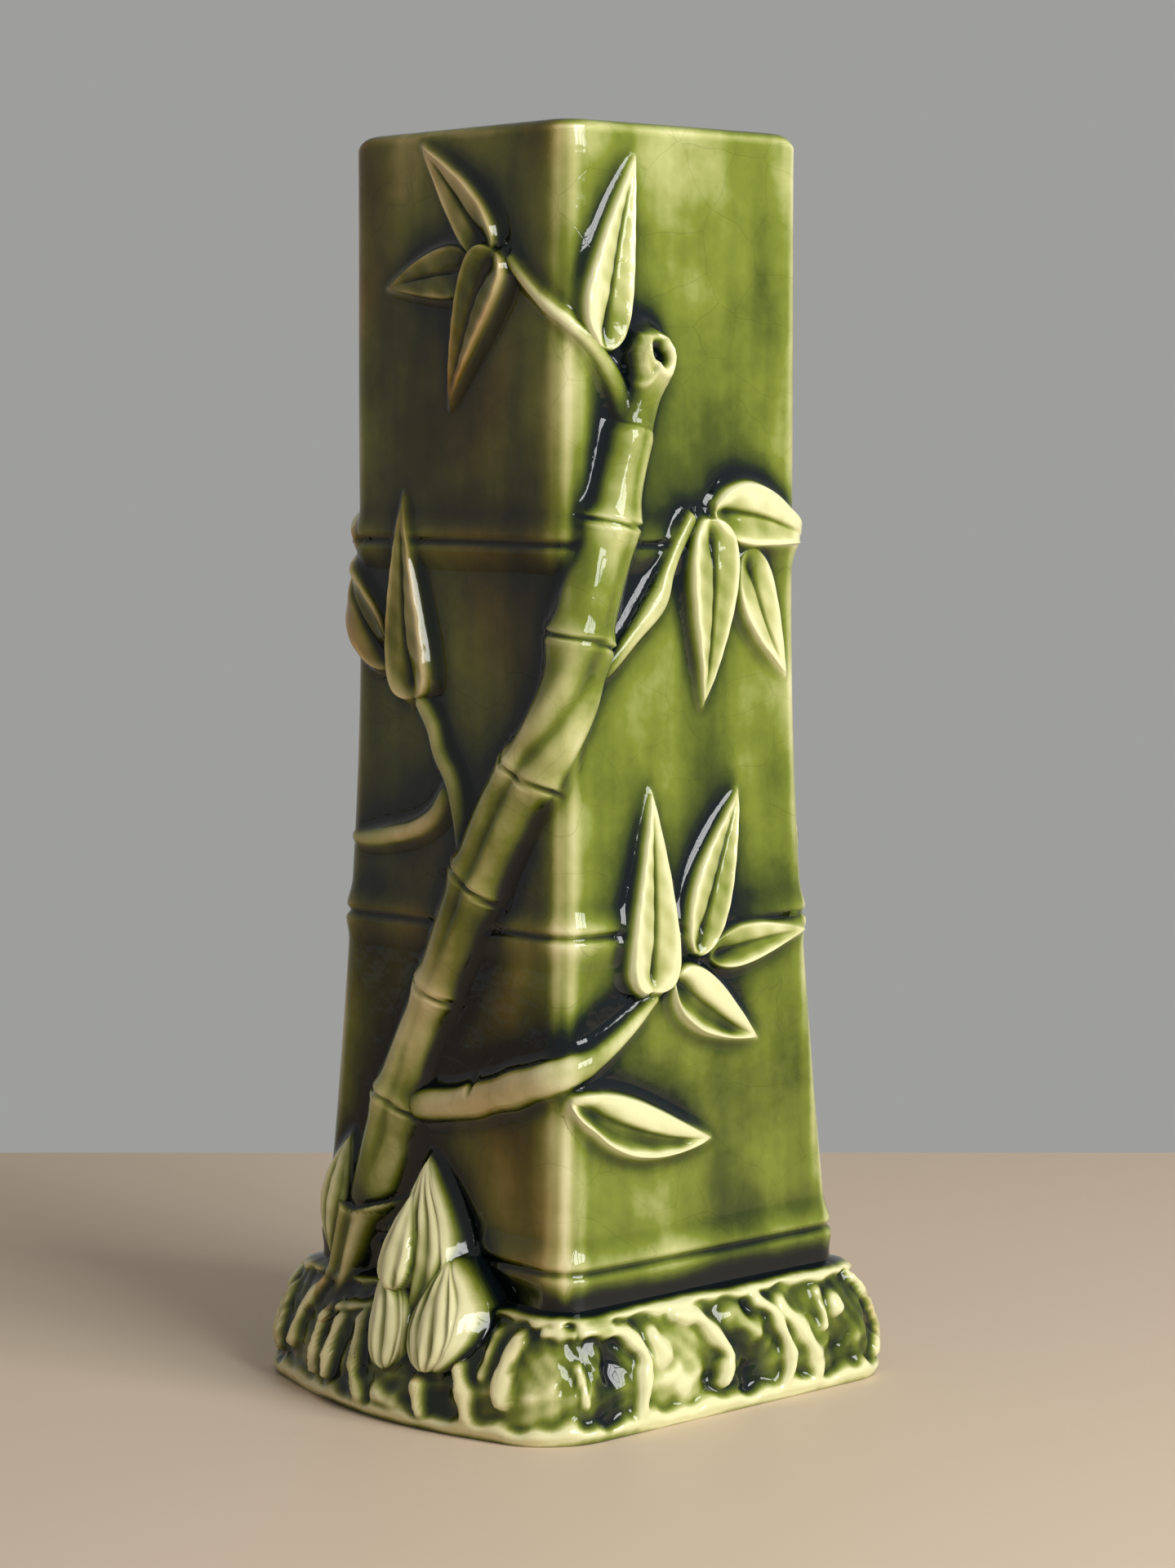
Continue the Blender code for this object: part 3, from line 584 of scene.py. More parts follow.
def leaf_frame(leaf):
    """A leaf's base, its unit direction and its length, flat."""
    base = np.array((leaf.base[0], leaf.base[1] * HEIGHT / 100))
    tip = np.array((leaf.tip[0], leaf.tip[1] * HEIGHT / 100))
    length = np.hypot(*(tip - base))
    return base, (tip - base) / length, length


def leaf_lift(leaf, along):
    """How far the ground that a leaf lies on is off the wall at a share of its length."""
    return leaf.lift[0] + (leaf.lift[1] - leaf.lift[0]) * along


def leaf_bow(leaf, along):
    """How far a leaf's midrib bows to the side at a share of its length."""
    return leaf.bow * 4 * along * (1 - along)


def leaf_rise(leaf, along, taper):
    """How far a leaf rises at a share of its length: the more its taper, the lower towards its ends."""
    return leaf.rise * np.maximum(leaf_full(leaf, along), 0.02) ** taper


def leaf_outline(leaf):
    """A leaf's outline as a closed path, with the height of its edge for its lift."""
    base, ahead, length = leaf_frame(leaf)
    aside = np.array((-ahead[1], ahead[0]))
    along = 0.5 - 0.5 * np.cos(np.pi * np.arange(33) / 32)
    edge = leaf_lift(leaf, along) + LEAF_EDGE * leaf_rise(leaf, along, LEAF_TAPER)
    rows = []
    for side in (1, -1):
        across = leaf_bow(leaf, along) + side * leaf_half(leaf, along)
        places = base + np.outer(along * length, ahead) + np.outer(across, aside)
        rows.append(np.column_stack((places, np.ones_like(along), edge)))
    return np.vstack((rows[0], rows[1][-2::-1]))


def leaf_places(leaf, run, z):
    """Each place as a share along a leaf, how far across it, and half the leaf's width there."""
    base, ahead, length = leaf_frame(leaf)
    along = ((run - base[0]) * ahead[0] + (z - base[1]) * ahead[1]) / length
    across = -(run - base[0]) * ahead[1] + (z - base[1]) * ahead[0]
    inside = np.clip(along, 0, 1)
    return along, across - leaf_bow(leaf, inside), np.maximum(leaf_half(leaf, inside), 0.05)


def leaf_top(leaf, along, across, half):
    """A leaf's upper face: slightly dished, with a fine midrib, and one half hollowed where it is folded."""
    along = np.clip(along, 0, 1)
    x = np.clip(across / half, -1, 1)
    broad = ease(half, 0.6, 3)
    face = 0.9 - 0.15 * broad * (1 - np.abs(x)) ** 1.2 + 0.05 * bell(np.abs(x), 0.9, 0.1)
    face -= 0.3 * broad * bell(along, 0.1, 0.12) * bell(x, 0, 0.5)
    hollow = np.sin(np.pi * np.clip(-x, 0, 1) ** 0.75)
    face += leaf.fold * broad * (0.5 * np.sin(np.pi * np.clip(x, 0, 1)) ** 0.7 - 1.4 * hollow)
    width = 0.3 + 0.5 * (1 - along) ** 2
    depth = (0.18 + 0.12 * (1 - along)) * ease(half, 0.5, 2.2) * ease(along, 0.03, 0.12)
    midrib = depth * np.exp(-((np.abs(across) / width) ** 1.6))
    return leaf_lift(leaf, along) + leaf_rise(leaf, along, LEAF_TAPER) * (face - midrib)


def shoot_top(leaf, along, across, half):
    """A shoot's upper face: a rounded bud with as many ribs as its fold says, from its base to its tip."""
    along = np.clip(along, 0, 1)
    x = np.clip(across / half, -1, 1)
    round_off = 0.5 + 0.5 * np.sqrt(1 - 0.96 * x**2)
    turn = np.arcsin(0.98 * x) / np.pi + 0.5 + 0.04 * np.sin(5 * along + leaf.width)
    ribs = np.abs(np.sin(np.pi * leaf.fold * turn)) ** 1.3
    uneven = 0.85 + 0.35 * np.sin(4 * x + 6 * along + leaf.width)
    deep = (0.6 + 1.0 * np.clip(1 - along, 0, 0.8)) * ease(half, 0.6, 3.5) * uneven
    return leaf_lift(leaf, along) + leaf_rise(leaf, along, SHOOT_TAPER) * round_off + (ribs - 0.75) * deep


def leaf_core(leaf, run, z, top):
    """The height of a leaf or shoot, with a rounded edge and a steep flank."""
    outline = near_path(leaf_outline(leaf), run, z, AROUND)
    along, across, half = leaf_places(leaf, run, z)
    inside = (np.abs(across) < half) & (along > 0) & (along < 1)
    flank = outline.lift - FLANK * np.where(inside, -outline.away, outline.away)
    face = top(leaf, along, across, half) + 0.12 * np.sin(run * 0.9 + z * 0.5) * np.sin(z * 0.7)
    height = -smooth_max(-face, -flank, 0.4)
    return np.where(outline.away == FAR, -FAR, height)


def core(name, run, z):
    """The height of one piece of the relief at these places."""
    if name in CANES:
        return cane_core(name, run, z)
    if name in LEAVES:
        return leaf_core(LEAVES[name], run, z, leaf_top)
    height = leaf_core(SHOOTS[name], run, z, shoot_top)
    if name == "shoot_tall":
        height = smooth_max(height, leaf_core(INNER_BUD, run, z, shoot_top), 0.3)
    return height


def relief(run, z, skip=None):
    """The highest core of the relief on both pairs of faces, without one piece of the front pair's."""
    highest = np.full(run.shape, -FAR)
    side = side_at(z)
    near = (run + 2 * side) % (4 * side) - 2 * side
    far = run % (4 * side) - 2 * side
    for name in (*CANES, *LEAVES, *SHOOTS):
        if name != skip:
            highest = np.maximum(highest, core(name, near, z))
        if name not in FRONT_ONLY:
            highest = np.maximum(highest, core(name, far, z))
    return highest


def filleted(height, floor):
    """A core's surface with the fillet of glaze that runs out over the ground beside it."""
    below = np.clip(floor - height, 0, None)
    foot = floor + FILLET * np.clip(1 - below / FILLET_DEPTH, 0, None) ** 3
    return smooth_max(height, foot, SOFT)


def dipped(height, floor):
    """The ground, lowered out of sight under the relief and its fillet."""
    return floor - DIP * ease(height - floor, -0.42 * FILLET_DEPTH, -0.15 * FILLET_DEPTH)


class GlazeAndShadeMap:
    """The depth of glaze all round the vase, with painted shade beside and to the left of what stands out,
    from its surface and from blurred copies of it.
    """

    cell = 0.5
    columns = 576
    # Each blurred copy: its reach, how much it counts, and the least and the most by which it can differ
    # The widest copy darkens broad bands beside tall relief: partly pooled glaze, partly painted shade
    blurs = ((0.9, 0.8, -0.6, 1), (2.2, 0.5, -1.1, 2), (5.0, 0.3, -1.6, 2.4))
    # The glaze held above what stands out, with painted shadow cast up and to its left: its blur, the most
    # that counts, how far up it fades, and its share
    held_blur = 0.7
    held_most = 3.2
    held_fade = 4.6
    held_share = 0.62

    def __init__(self):
        self.rows = round(HEIGHT / self.cell)
        z = (np.arange(self.rows) + 0.5) * self.cell
        turn = (np.arange(self.columns) + 0.5) / self.columns * 4 - 2
        z, turn = np.meshgrid(z, turn, indexing="ij")
        run = turn * side_at(z)
        surface = filleted(relief(run, z), ground(run, z))
        self.layers = [self.blur(surface, reach) for reach, *_ in self.blurs]
        self.layers.append(self.blur(self.held_back(surface), self.held_blur))

    def blur(self, field, reach):
        """The field averaged over a reach, going round the vase and mirrored at its ends."""
        pad = 60
        tall = np.vstack((field[pad:0:-1], field, field[-2 : -pad - 2 : -1]))
        up = np.fft.fftfreq(tall.shape[0])[:, None]
        round_it = np.fft.rfftfreq(self.columns)[None, :]
        spread = np.exp(-2 * (np.pi * reach / self.cell) ** 2 * (up**2 + round_it**2))
        return np.fft.irfft2(np.fft.rfft2(tall) * spread, tall.shape)[pad : pad + self.rows]

    def held_back(self, surface):
        """How much running glaze is held by what stands out just below each place, with painted shadow cast
        from what stands out below and to the right.
        """
        held_and_shadow = np.zeros_like(surface)
        for steps in range(1, 40):
            below = np.vstack((np.repeat(surface[:1], steps, 0), surface[:-steps]))
            # The copy shifted sideways paints the shadow cast up and to the left of what stands out
            shadow_aslant = np.roll(below, -round(0.6 * steps), 1)
            fade = math.exp(-steps * self.cell / self.held_fade)
            for ledge in (below, shadow_aslant):
                held_and_shadow = np.maximum(held_and_shadow, np.minimum(ledge - surface, self.held_most) * fade)
        return held_and_shadow

    def sample(self, run, z):
        """Each layer at places that may lie between its cells."""
        across = (run / side_at(z) + 2) / 4 * self.columns - 0.5
        up = np.clip(z / self.cell - 0.5, 0, self.rows - 1.001)
        left, low = np.floor(across).astype(int), np.floor(up).astype(int)
        x, y = across - left, up - low
        left, right = left % self.columns, (left + 1) % self.columns
        for layer in self.layers:
            below = layer[low, left] * (1 - x) + layer[low, right] * x
            above = layer[low + 1, left] * (1 - x) + layer[low + 1, right] * x
            yield below * (1 - y) + above * y

    def depth(self, run, z, lift):
        """The glaze's depth, with its painted shade, at places on the surface: above 0 where it pools or is
        shaded, below 0 where it runs thin.
        """
        *blurred, held_and_shadow = self.sample(run, z)
        pool = 0
        for surface, (_, share, least, most) in zip(blurred, self.blurs):
            pool = pool + share * np.clip(surface - lift, least, most)
        stony = 1 - ease(z, FOOT_TOP - 1, FOOT_TOP + 2)
        pool = pool * np.where(pool < 0, 1 + 0.25 * stony, 1 - 0.05 * stony) - 0.05 * stony
        held_and_shadow = self.held_share * held_and_shadow / (1 + np.clip(lift, 0, None) / 6) * (1 - 0.5 * stony)
        return pool + held_and_shadow + uneven_depth(run, z, lift) * (1 - stony)


def uneven_depth(run, z, lift):
    """How much darker or paler the glaze is made by place alone: thinner down the corners and at the rim,
    darker along the far edge of each left face, and at the listed places.
    """
    away = past_corner(run, z)
    streaked = 1 + 0.3 * np.sin(run * 1.7 + 1.5 * np.sin(z / 23))
    depth = 0.12 * bell(away, 11, 4) - (1.2 - 0.5 * z / HEIGHT) * bell(away, 0, 3.6) * streaked
    depth = depth * (1 - 0.8 * ease(lift, 1.6, 4.5))
    depth -= 0.15 * ease(z, HEIGHT - 24, HEIGHT - 4) + 0.6 * ease(z, HEIGHT - 3, HEIGHT - 0.5)
    run = front_run(run, z)
    # Darker along the far edge of the left face of each pair
    depth += 0.35 * bell(run / side_at(z), -0.88, 0.12)
    for path, reach, deeper in DARKER_OR_PALER:
        guide = np.array([(*place, 0, 0) for place in path])
        away = near_path(guide, run, z, 3 * reach).away
        depth += deeper * bell(away, 0, reach) * (1 - ease(lift, 0.8, 2.6))
    return depth


def flat_mesh(name, run, lift, z, faces, values):
    """A mesh laid out flat, its run along X, its lift along Y, with values kept on its vertices."""
    mesh = bpy.data.meshes.new(name)
    places = np.column_stack((run, lift, z)) * MM
    mesh.from_pydata(places.tolist(), [], faces)
    for key, numbers in values.items():
        attribute = mesh.attributes.new(key, "FLOAT", "POINT")
        attribute.data.foreach_set("value", np.asarray(numbers, np.float32))
    mesh.shade_smooth()
    return mesh


def ring_faces(rows, columns, closed=False):
    """Quads between rows of vertices that go all the way round."""
    faces = []
    for row in range(rows if closed else rows - 1):
        low, high = row * columns, (row + 1) % rows * columns
        for i in range(columns):
            j = (i + 1) % columns
            faces.append((low + i, low + j, high + j, high + i))
    return faces


def sheet_faces(grid, first, last):
    """Faces of a grid of vertices that runs out to a point at each end."""
    faces = [(first, left, right) for left, right in zip(grid[0], grid[0][1:])]
    faces += [(last, right, left) for left, right in zip(grid[-1], grid[-1][1:])]
    for low, high in zip(grid, grid[1:]):
        faces += zip(low, high, high[1:], low[1:])
    return faces


def lens_faces(rows, columns):
    """Faces of a closed piece between two points: its upper side, and its underside five vertices wide."""
    first, last = 0, 1 + rows * columns
    upper = np.arange(first + 1, last).reshape(rows, columns)
    under = np.arange(last + 1, last + 1 + 3 * rows).reshape(rows, 3)
    lower = np.column_stack((upper[:, 0], under, upper[:, -1]))
    turned = [(face[0], *face[:0:-1]) for face in sheet_faces(lower.tolist(), first, last)]
    return sheet_faces(upper.tolist(), first, last) + turned


def relief_mesh(name, places, glaze_and_shade_map, tones, shown_brown_and_shade=1):
    """A piece of the relief, closed, over a grid of flat places that runs out to a point at each end."""
    rows, columns = places.shape[0] - 2, places.shape[1]
    run, z = np.vstack((places[0, :1], places[1:-1].reshape(-1, 2), places[-1, :1])).T
    z = z - 0.45 * np.clip(z - HEIGHT + 4, 0, None)
    floor = ground(run, z)
    mine = core(name, run, z)
    rest = filleted(relief(run, z, name), floor)
    lift = joined(mine, rest, floor)
    edge = np.zeros((rows, columns), bool)
    edge[:, (0, -1)] = True
    edge = np.concatenate(([True], edge.ravel(), [True]))
    lift = np.where(edge, np.minimum(lift, floor - SUNK), lift)
    proud = ease(mine - floor, -0.3, 1.2)
    pool = glaze_and_shade_map.depth(run, z, np.maximum(lift, rest - 1)) + proud * tone_at(name, run, z, tones)
    below = [round(share * (columns - 1)) for share in (0.25, 0.5, 0.75)]
    under = places[1:-1, below].reshape(-1, 2)
    sunk = np.minimum(floor[1:-1].reshape(rows, columns)[:, below].ravel(), 6) - 1.2
    run, z = np.concatenate((run, under[:, 0])), np.concatenate((z, under[:, 1]))
    lift = np.concatenate((lift, np.maximum(sunk, -3)))
    hidden = np.ones(len(under))
    brown_and_shaded = 1 - (1 - shown_brown_and_shade) * np.concatenate((proud, hidden))
    # The depth kept here carries painted shade beside what stands out, and the brown carries painted shade on
    # the left faces
    values = {"pool": np.concatenate((pool, hidden)), "brown": brown_and_shade_at(run, z) * brown_and_shaded}
    return flat_mesh(name, run, lift, z, lens_faces(rows, columns), values)


def joined(mine, rest, floor):
    """A piece's surface, filled where it meets the rest of the relief and sunk into the ground beside it."""
    lift = filleted(mine, floor)
    meeting = np.where(rest > floor + FILLET / 2, crease(lift, rest, SOFT), 0)
    drop = np.clip((floor - mine) / FILLET_DEPTH, 0, 1.2)
    return lift + meeting - SUNK * ease(drop, 0.7, 1.2)


def tone_at(name, run, z, tones):
    """How much deeper the glaze lies on what stands proud: one tone where it fired green, one where brown and
    painted as shaded.
    """
    tone = tones[0] + (tones[1] - tones[0]) * brown_and_shade_at(run, z)
    if name == "stalk":
        tone = tone + SLEEVE_TONE * (z < SLEEVE_TOP)
    return tone


def brown_and_shade_at(run, z):
    """How brown the glaze fired, and how much shade is painted: on the left face of either pair, and not on
    the right one.
    """
    share = front_run(run, z) / side_at(z)
    face = 1 - ease(share, -0.12, 0.06) + ease(share, 0.97, 1.05)
    return face * (0.8 + 0.2 * np.sin(z / 19 + run / 13))


def cane_grid(name, step, columns):
    """Flat places in rows across a cane, from a point past its one end to a point past the other."""
    path = cane_path(name)
    lengths = lengths_along(path)
    marks = np.linspace(0, lengths[-1], max(8, round(lengths[-1] / step)))
    run, z, width = (np.interp(marks, lengths, path[:, i]) for i in range(3))
    centre, width = np.column_stack((run, z)), width + MARGIN
    ahead = np.gradient(centre, axis=0)
    ahead /= np.hypot(*ahead.T)[:, None]
    turns = np.radians((90, 78, 62, 44, 26, 10))
    start = centre[0] - np.outer(np.sin(turns), ahead[0]) * width[0]
    end = centre[-1] + np.outer(np.sin(turns[::-1]), ahead[-1]) * width[-1]
    width = np.concatenate((np.cos(turns) * width[0], width, np.cos(turns[::-1]) * width[-1]))
    centre = np.vstack((start, centre, end))
    ahead = np.vstack((np.repeat(ahead[:1], len(turns), 0), ahead, np.repeat(ahead[-1:], len(turns), 0)))
    aside = np.column_stack((-ahead[:, 1], ahead[:, 0]))
    return centre[:, None] + aside[:, None] * (width[:, None] * np.linspace(-1, 1, columns))[:, :, None]


def leaf_grid(leaf):
    """Flat places in rows across a leaf, with columns that follow its outline."""
    base, ahead, length = leaf_frame(leaf)
    aside = np.array((-ahead[1], ahead[0]))
    margin = MARGIN + 0.7
    ends = np.sin(np.radians((90, 74, 56, 38, 20))) * margin
    middle = length * (0.5 - 0.5 * np.cos(np.pi * np.linspace(0.01, 0.99, 76)))
    marks = np.concatenate((-ends, middle, length + ends[::-1]))
    beyond = np.clip(np.maximum(-marks, marks - length) / margin, 0, 1)
    shrink = np.sqrt(1 - beyond**2)
    share = np.clip(marks / length, 0, 1)
    half = np.maximum(leaf_half(leaf, share), 0.15)
    even = np.linspace(-1, 1, 37)
    inner = [half * x for x in even - 0.55 * np.sin(2 * np.pi * even) / (2 * np.pi)]
    outer = [half + off for off in (0.2, 0.45, 0.8, 1.2, 1.7, 2.3, 3.0, margin)]
    across = np.array([-x for x in outer[::-1]] + inner + outer)
    across = (across * shrink + leaf_bow(leaf, share)).T
    return base + marks[:, None, None] * ahead + across[:, :, None] * aside


def all_round(z, per_corner, per_flat):
    """Runs all round the vase at each height, closer together at the corners."""
    corner, side = corner_run(), side_at(z)[:, None]
    arcs = -corner + 2 * corner * np.arange(per_corner) / per_corner
    flats = np.arange(per_flat) / per_flat
    quarter = np.hstack((np.repeat(arcs[None], len(z), 0), corner + (side - 2 * corner) * flats))
    return np.hstack([quarter + turn * side for turn in (-2, -1, 0, 1)])


def body_heights():
    """Heights of the rows up the column, closer together at its rings."""
    heights = [SEAT, 9, 14, 17.5]
    while heights[-1] < HEIGHT - LIP - 1.3:
        z = heights[-1]
        close = any(abs(z + 0.4 - ring) < RING_REACH for ring in RING_HEIGHTS)
        heights.append(z + (0.55 if close else 1.02))
    return np.array((*heights, HEIGHT - LIP))


def with_inside(rows, inside, spacing, rounding=0):
    """The rows up a wall's outside, then its plain inner rows: how far in, how high and how deep in glaze."""
    wall = bpy.context.scene.vase_column.wall / MM
    run, z, lift, pool = ([part] for part in rows)
    for inward, height, depth in inside:
        level = np.full((1, rows[0].shape[1]), float(height))
        here = all_round(level[0, :1], *spacing)
        near = np.clip(1 - past_corner(here, level) / corner_run(), 0, 1)
        run.append(here)
        z.append(level)
        lift.append(-inward - rounding * near * min(1, inward / wall))
        pool.append(np.full(level.shape, depth))
    return (np.vstack(part) for part in (run, z, lift, pool))


def body_mesh(glaze_and_shade_map):
    """The hollow column: up its outside, over the lip and down the inside to the floor."""
    z = body_heights()
    run = all_round(z, *BODY_SPACING)
    columns = run.shape[1]
    z = np.repeat(z[:, None], columns, 1)
    height = relief(run, z)
    pool = glaze_and_shade_map.depth(run, z, filleted(height, ground(run, z)))
    outside = run, z, dipped(height, column_lift(run, z)), pool
    wall = bpy.context.scene.vase_column.wall / MM
    inside = []
    for step in range(1, 8):
        inward, up = wall / 2 * (1 - math.cos(math.pi / 8 * step)), math.sin(math.pi / 8 * step)
        # Over the lip the glaze is made dark along the middle of its top: partly deeper glaze, partly painted
        # shade
        inside.append((inward, HEIGHT - LIP + LIP * up, 1.1 * math.sin(math.pi * inward / wall) - 0.3))
    inside += [(wall, HEIGHT - LIP - down, 0.1) for down in (0, 3, 8, 16, 30, 50, 80, 120, 170)]
    inside += [(wall + 1.5, FLOOR + 0.4, 0.1), (wall + 4, FLOOR, 0.1)]
    run, z, lift, pool = with_inside(outside, inside, BODY_SPACING, rounding=0.5)
    faces = ring_faces(len(run), columns)
    faces.append(tuple(range(columns))[::-1])
    faces.append(tuple(range((len(run) - 1) * columns, len(run) * columns)))
    z = z - rim_sag(run, z)
    # As on the relief, the depth kept here carries painted shade, and the brown carries painted shade on the
    # left faces
    values = {"pool": pool.ravel(), "brown": brown_and_shade_at(run, z).ravel()}
    return flat_mesh("vase_body", run.ravel(), lift.ravel(), z.ravel(), faces, values)


def rim_sag(run, z):
    """How far the rim sags: a little to one side, and more where it is worn at the side corners."""
    side = side_at(z)
    sag = 0.2 - 0.2 * np.cos(np.pi / 2 * (run / side - 0.6)) + 1.3 * bell((run / side % 2 - 1) * side, 0, 3.4)
    return sag * ease(z, HEIGHT - 12, HEIGHT)


def foot_mesh(glaze_and_shade_map):
    """The rockwork foot: up its outside, over the ledge, and back down inside the column's wall."""
    tucked = np.linspace(FOOT_TOP - 0.7, FOOT_TOP + FOOT_TUCK, 8)
    z = np.concatenate((np.linspace(0, FOOT_TOP - 1, 50), tucked))
    run = all_round(z, *FOOT_SPACING)
    columns = run.shape[1]
    z = np.repeat(z[:, None], columns, 1)
    lift = foot_lift(run, z)
    height = relief(run, z)
    pool = glaze_and_shade_map.depth(run, z, filleted(height, lift))
    pool -= 0.85 * (1 - ease(z, 1.4, 3.6)) + 0.5 * bell(z, 21.4, 0.8)
    inside = [(1, FOOT_TOP, -0.6), (1, SEAT - 0.2, -0.6), (6, SEAT - 0.2, -0.6), (6, 0, -0.6)]
    rows = with_inside((run, z, dipped(height, lift), pool), inside, FOOT_SPACING)
    run, z, lift, pool = (part.ravel() for part in rows)
    faces = ring_faces(len(run) // columns, columns, closed=True)
    # The foot's kept depth and brown carry painted shade too
    values = {"pool": pool, "brown": FOOT_BROWN_AND_SHADE * brown_and_shade_at(run, z)}
    return flat_mesh("rockwork_foot", run, lift, z, faces, values)


def feed(tree, socket, value):
    """Sets a socket to a value, or links another node's output to it."""
    if isinstance(value, bpy.types.NodeSocket):
        tree.links.new(value, socket)
    else:
        socket.default_value = value


def node(tree, kind, settings=None, **inputs):
    """A node with its settings and its inputs, which are named with _ for a space."""
    made = tree.nodes.new(kind)
    for key, value in (settings or {}).items():
        setattr(made, key, value)
    for key, value in inputs.items():
        feed(tree, made.inputs[key.replace("_", " ")], value)
    return made


def calc(tree, operation, *terms):
    """The output of a math node."""
    made = node(tree, "ShaderNodeMath", {"operation": operation})
    for socket, term in zip(made.inputs, terms):
        feed(tree, socket, term)
    return made.outputs[0]


def makers(tree):
    """Two short calls for one tree: one that makes a node, and one that works out a value."""
    return partial(node, tree), partial(calc, tree)


def wrapped_place(tree, given):
    """The place round the column of a vertex laid out flat."""
    make, do = makers(tree)
    flat = make("ShaderNodeSeparateXYZ", Vector=make("GeometryNodeInputPosition").outputs[0]).outputs
    run, lift, z = flat[0], flat[1], flat[2]
    radius = given["Corner Radius"]
    left = do("MAXIMUM", do("SUBTRACT", 1.0, do("DIVIDE", z, given["Flare Height"])), 0.0)
    flare = do("MULTIPLY", given["Flare"], do("POWER", left, given["Flare Curve"]))
    half = do("MULTIPLY_ADD", given["Top Width"], 0.5, flare)
    inner = do("SUBTRACT", half, radius)
    quarter = do("MULTIPLY", radius, math.pi / 2)
    side = do("MULTIPLY_ADD", inner, 2.0, quarter)
    past = do("MULTIPLY_ADD", quarter, 0.5, run)
    turns = do("FLOOR", do("DIVIDE", past, side))
    along = do("SUBTRACT", past, do("MULTIPLY", turns, side))
    bend = do("MINIMUM", do("DIVIDE", along, radius), math.pi / 2)
    straight = do("MAXIMUM", do("SUBTRACT", along, quarter), 0.0)
    turned = do("MULTIPLY", turns, math.pi / 2)
    corner = do("SUBTRACT", turned, 0.75 * math.pi)
    facing = do("SUBTRACT", do("ADD", turned, bend), math.pi)
    cosine, sine = do("COSINE", facing), do("SINE", facing)
    out = do("ADD", radius, lift)
    reach = do("MULTIPLY", inner, math.sqrt(2))
    x = do("MULTIPLY_ADD", reach, do("COSINE", corner), do("MULTIPLY", out, cosine))
    y = do("MULTIPLY_ADD", reach, do("SINE", corner), do("MULTIPLY", out, sine))
    x = do("SUBTRACT", x, do("MULTIPLY", straight, sine))
    y = do("MULTIPLY_ADD", straight, cosine, y)
    return make("ShaderNodeCombineXYZ", X=x, Y=y, Z=z).outputs[0]


def wrap_tree():
    """The node tree that wraps a flat mesh round the square, flared column."""
    tree = bpy.data.node_groups.new("Wrap Round Column", "GeometryNodeTree")
    tree.is_modifier = True
    tree.interface.new_socket("Geometry", in_out="INPUT", socket_type="NodeSocketGeometry")
    for name in ("Top Width", "Flare", "Flare Height", "Flare Curve", "Corner Radius"):
        tree.interface.new_socket(name, in_out="INPUT", socket_type="NodeSocketFloat")
    tree.interface.new_socket("Material", in_out="INPUT", socket_type="NodeSocketMaterial")
    tree.interface.new_socket("Geometry", in_out="OUTPUT", socket_type="NodeSocketGeometry")
    given = tree.nodes.new("NodeGroupInput").outputs
    make = partial(node, tree)
    moved = make("GeometryNodeSetPosition", Geometry=given["Geometry"], Position=wrapped_place(tree, given))
    whole = make("GeometryNodeRealizeInstances", Geometry=moved.outputs[0])
    dressed = make("GeometryNodeSetMaterial", Geometry=whole.outputs[0], Material=given["Material"])
    make("NodeGroupOutput", Geometry=dressed.outputs[0])
    return tree


def wrapped(mesh, material):
    """The flat mesh wrapped round the column, as a plain mesh with its material."""
    tree = bpy.data.node_groups.get("Wrap Round Column") or wrap_tree()
    obj = bpy.data.objects.new(mesh.name + "_flat", mesh)
    bpy.context.scene.collection.objects.link(obj)
    modifier = obj.modifiers.new("wrap", "NODES")
    modifier.node_group = tree
    for item in tree.interface.items_tree:
        if item.in_out == "INPUT" and item.name != "Geometry":
            size = item.name.lower().replace(" ", "_")
            given = material if size == "material" else getattr(bpy.context.scene.vase_column, size)
            modifier[item.identifier] = given
    graph = bpy.context.evaluated_depsgraph_get()
    solid = bpy.data.meshes.new_from_object(obj.evaluated_get(graph))
    bpy.data.objects.remove(obj)
    bpy.data.meshes.remove(mesh)
    return solid


def place_piece(solid, name):
    """Links a finished piece and lets it stand for its CAD node."""
    solid.name = "glazed_" + name
    piece = bpy.data.objects.new("glazed_" + name, solid)
    bpy.context.scene.collection.objects.link(piece)
    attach(piece, "root")
    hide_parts(name)
    return piece


def place_pair(solid, name):
    """Places a piece of the relief in front, and its copy turned half a turn behind."""
    if name not in FRONT_ONLY:
        twin = solid.copy()
        twin.transform(Matrix.Rotation(math.pi, 4, "Z"))
        place_piece(twin, "back_" + name)
    place_piece(solid, "front_" + name)


def srgb(red, green, blue):
    """A colour from its 0 to 255 values, as Blender holds it."""
    values = []
    for value in (red / 255, green / 255, blue / 255):
        values.append(value / 12.92 if value <= 0.04045 else ((value + 0.055) / 1.055) ** 2.4)
    return (*values, 1)


def shader_group(name, inputs, outputs):
    """An empty shader node group with its sockets, and the sockets inside it."""
    group = bpy.data.node_groups.new(name, "ShaderNodeTree")
    for label, kind, value in inputs:
        socket = group.interface.new_socket(label, in_out="INPUT", socket_type="NodeSocket" + kind)
        socket.default_value = value
    for label, kind in outputs:
        group.interface.new_socket(label, in_out="OUTPUT", socket_type="NodeSocket" + kind)
    return group, group.nodes.new("NodeGroupInput").outputs, group.nodes.new("NodeGroupOutput").inputs


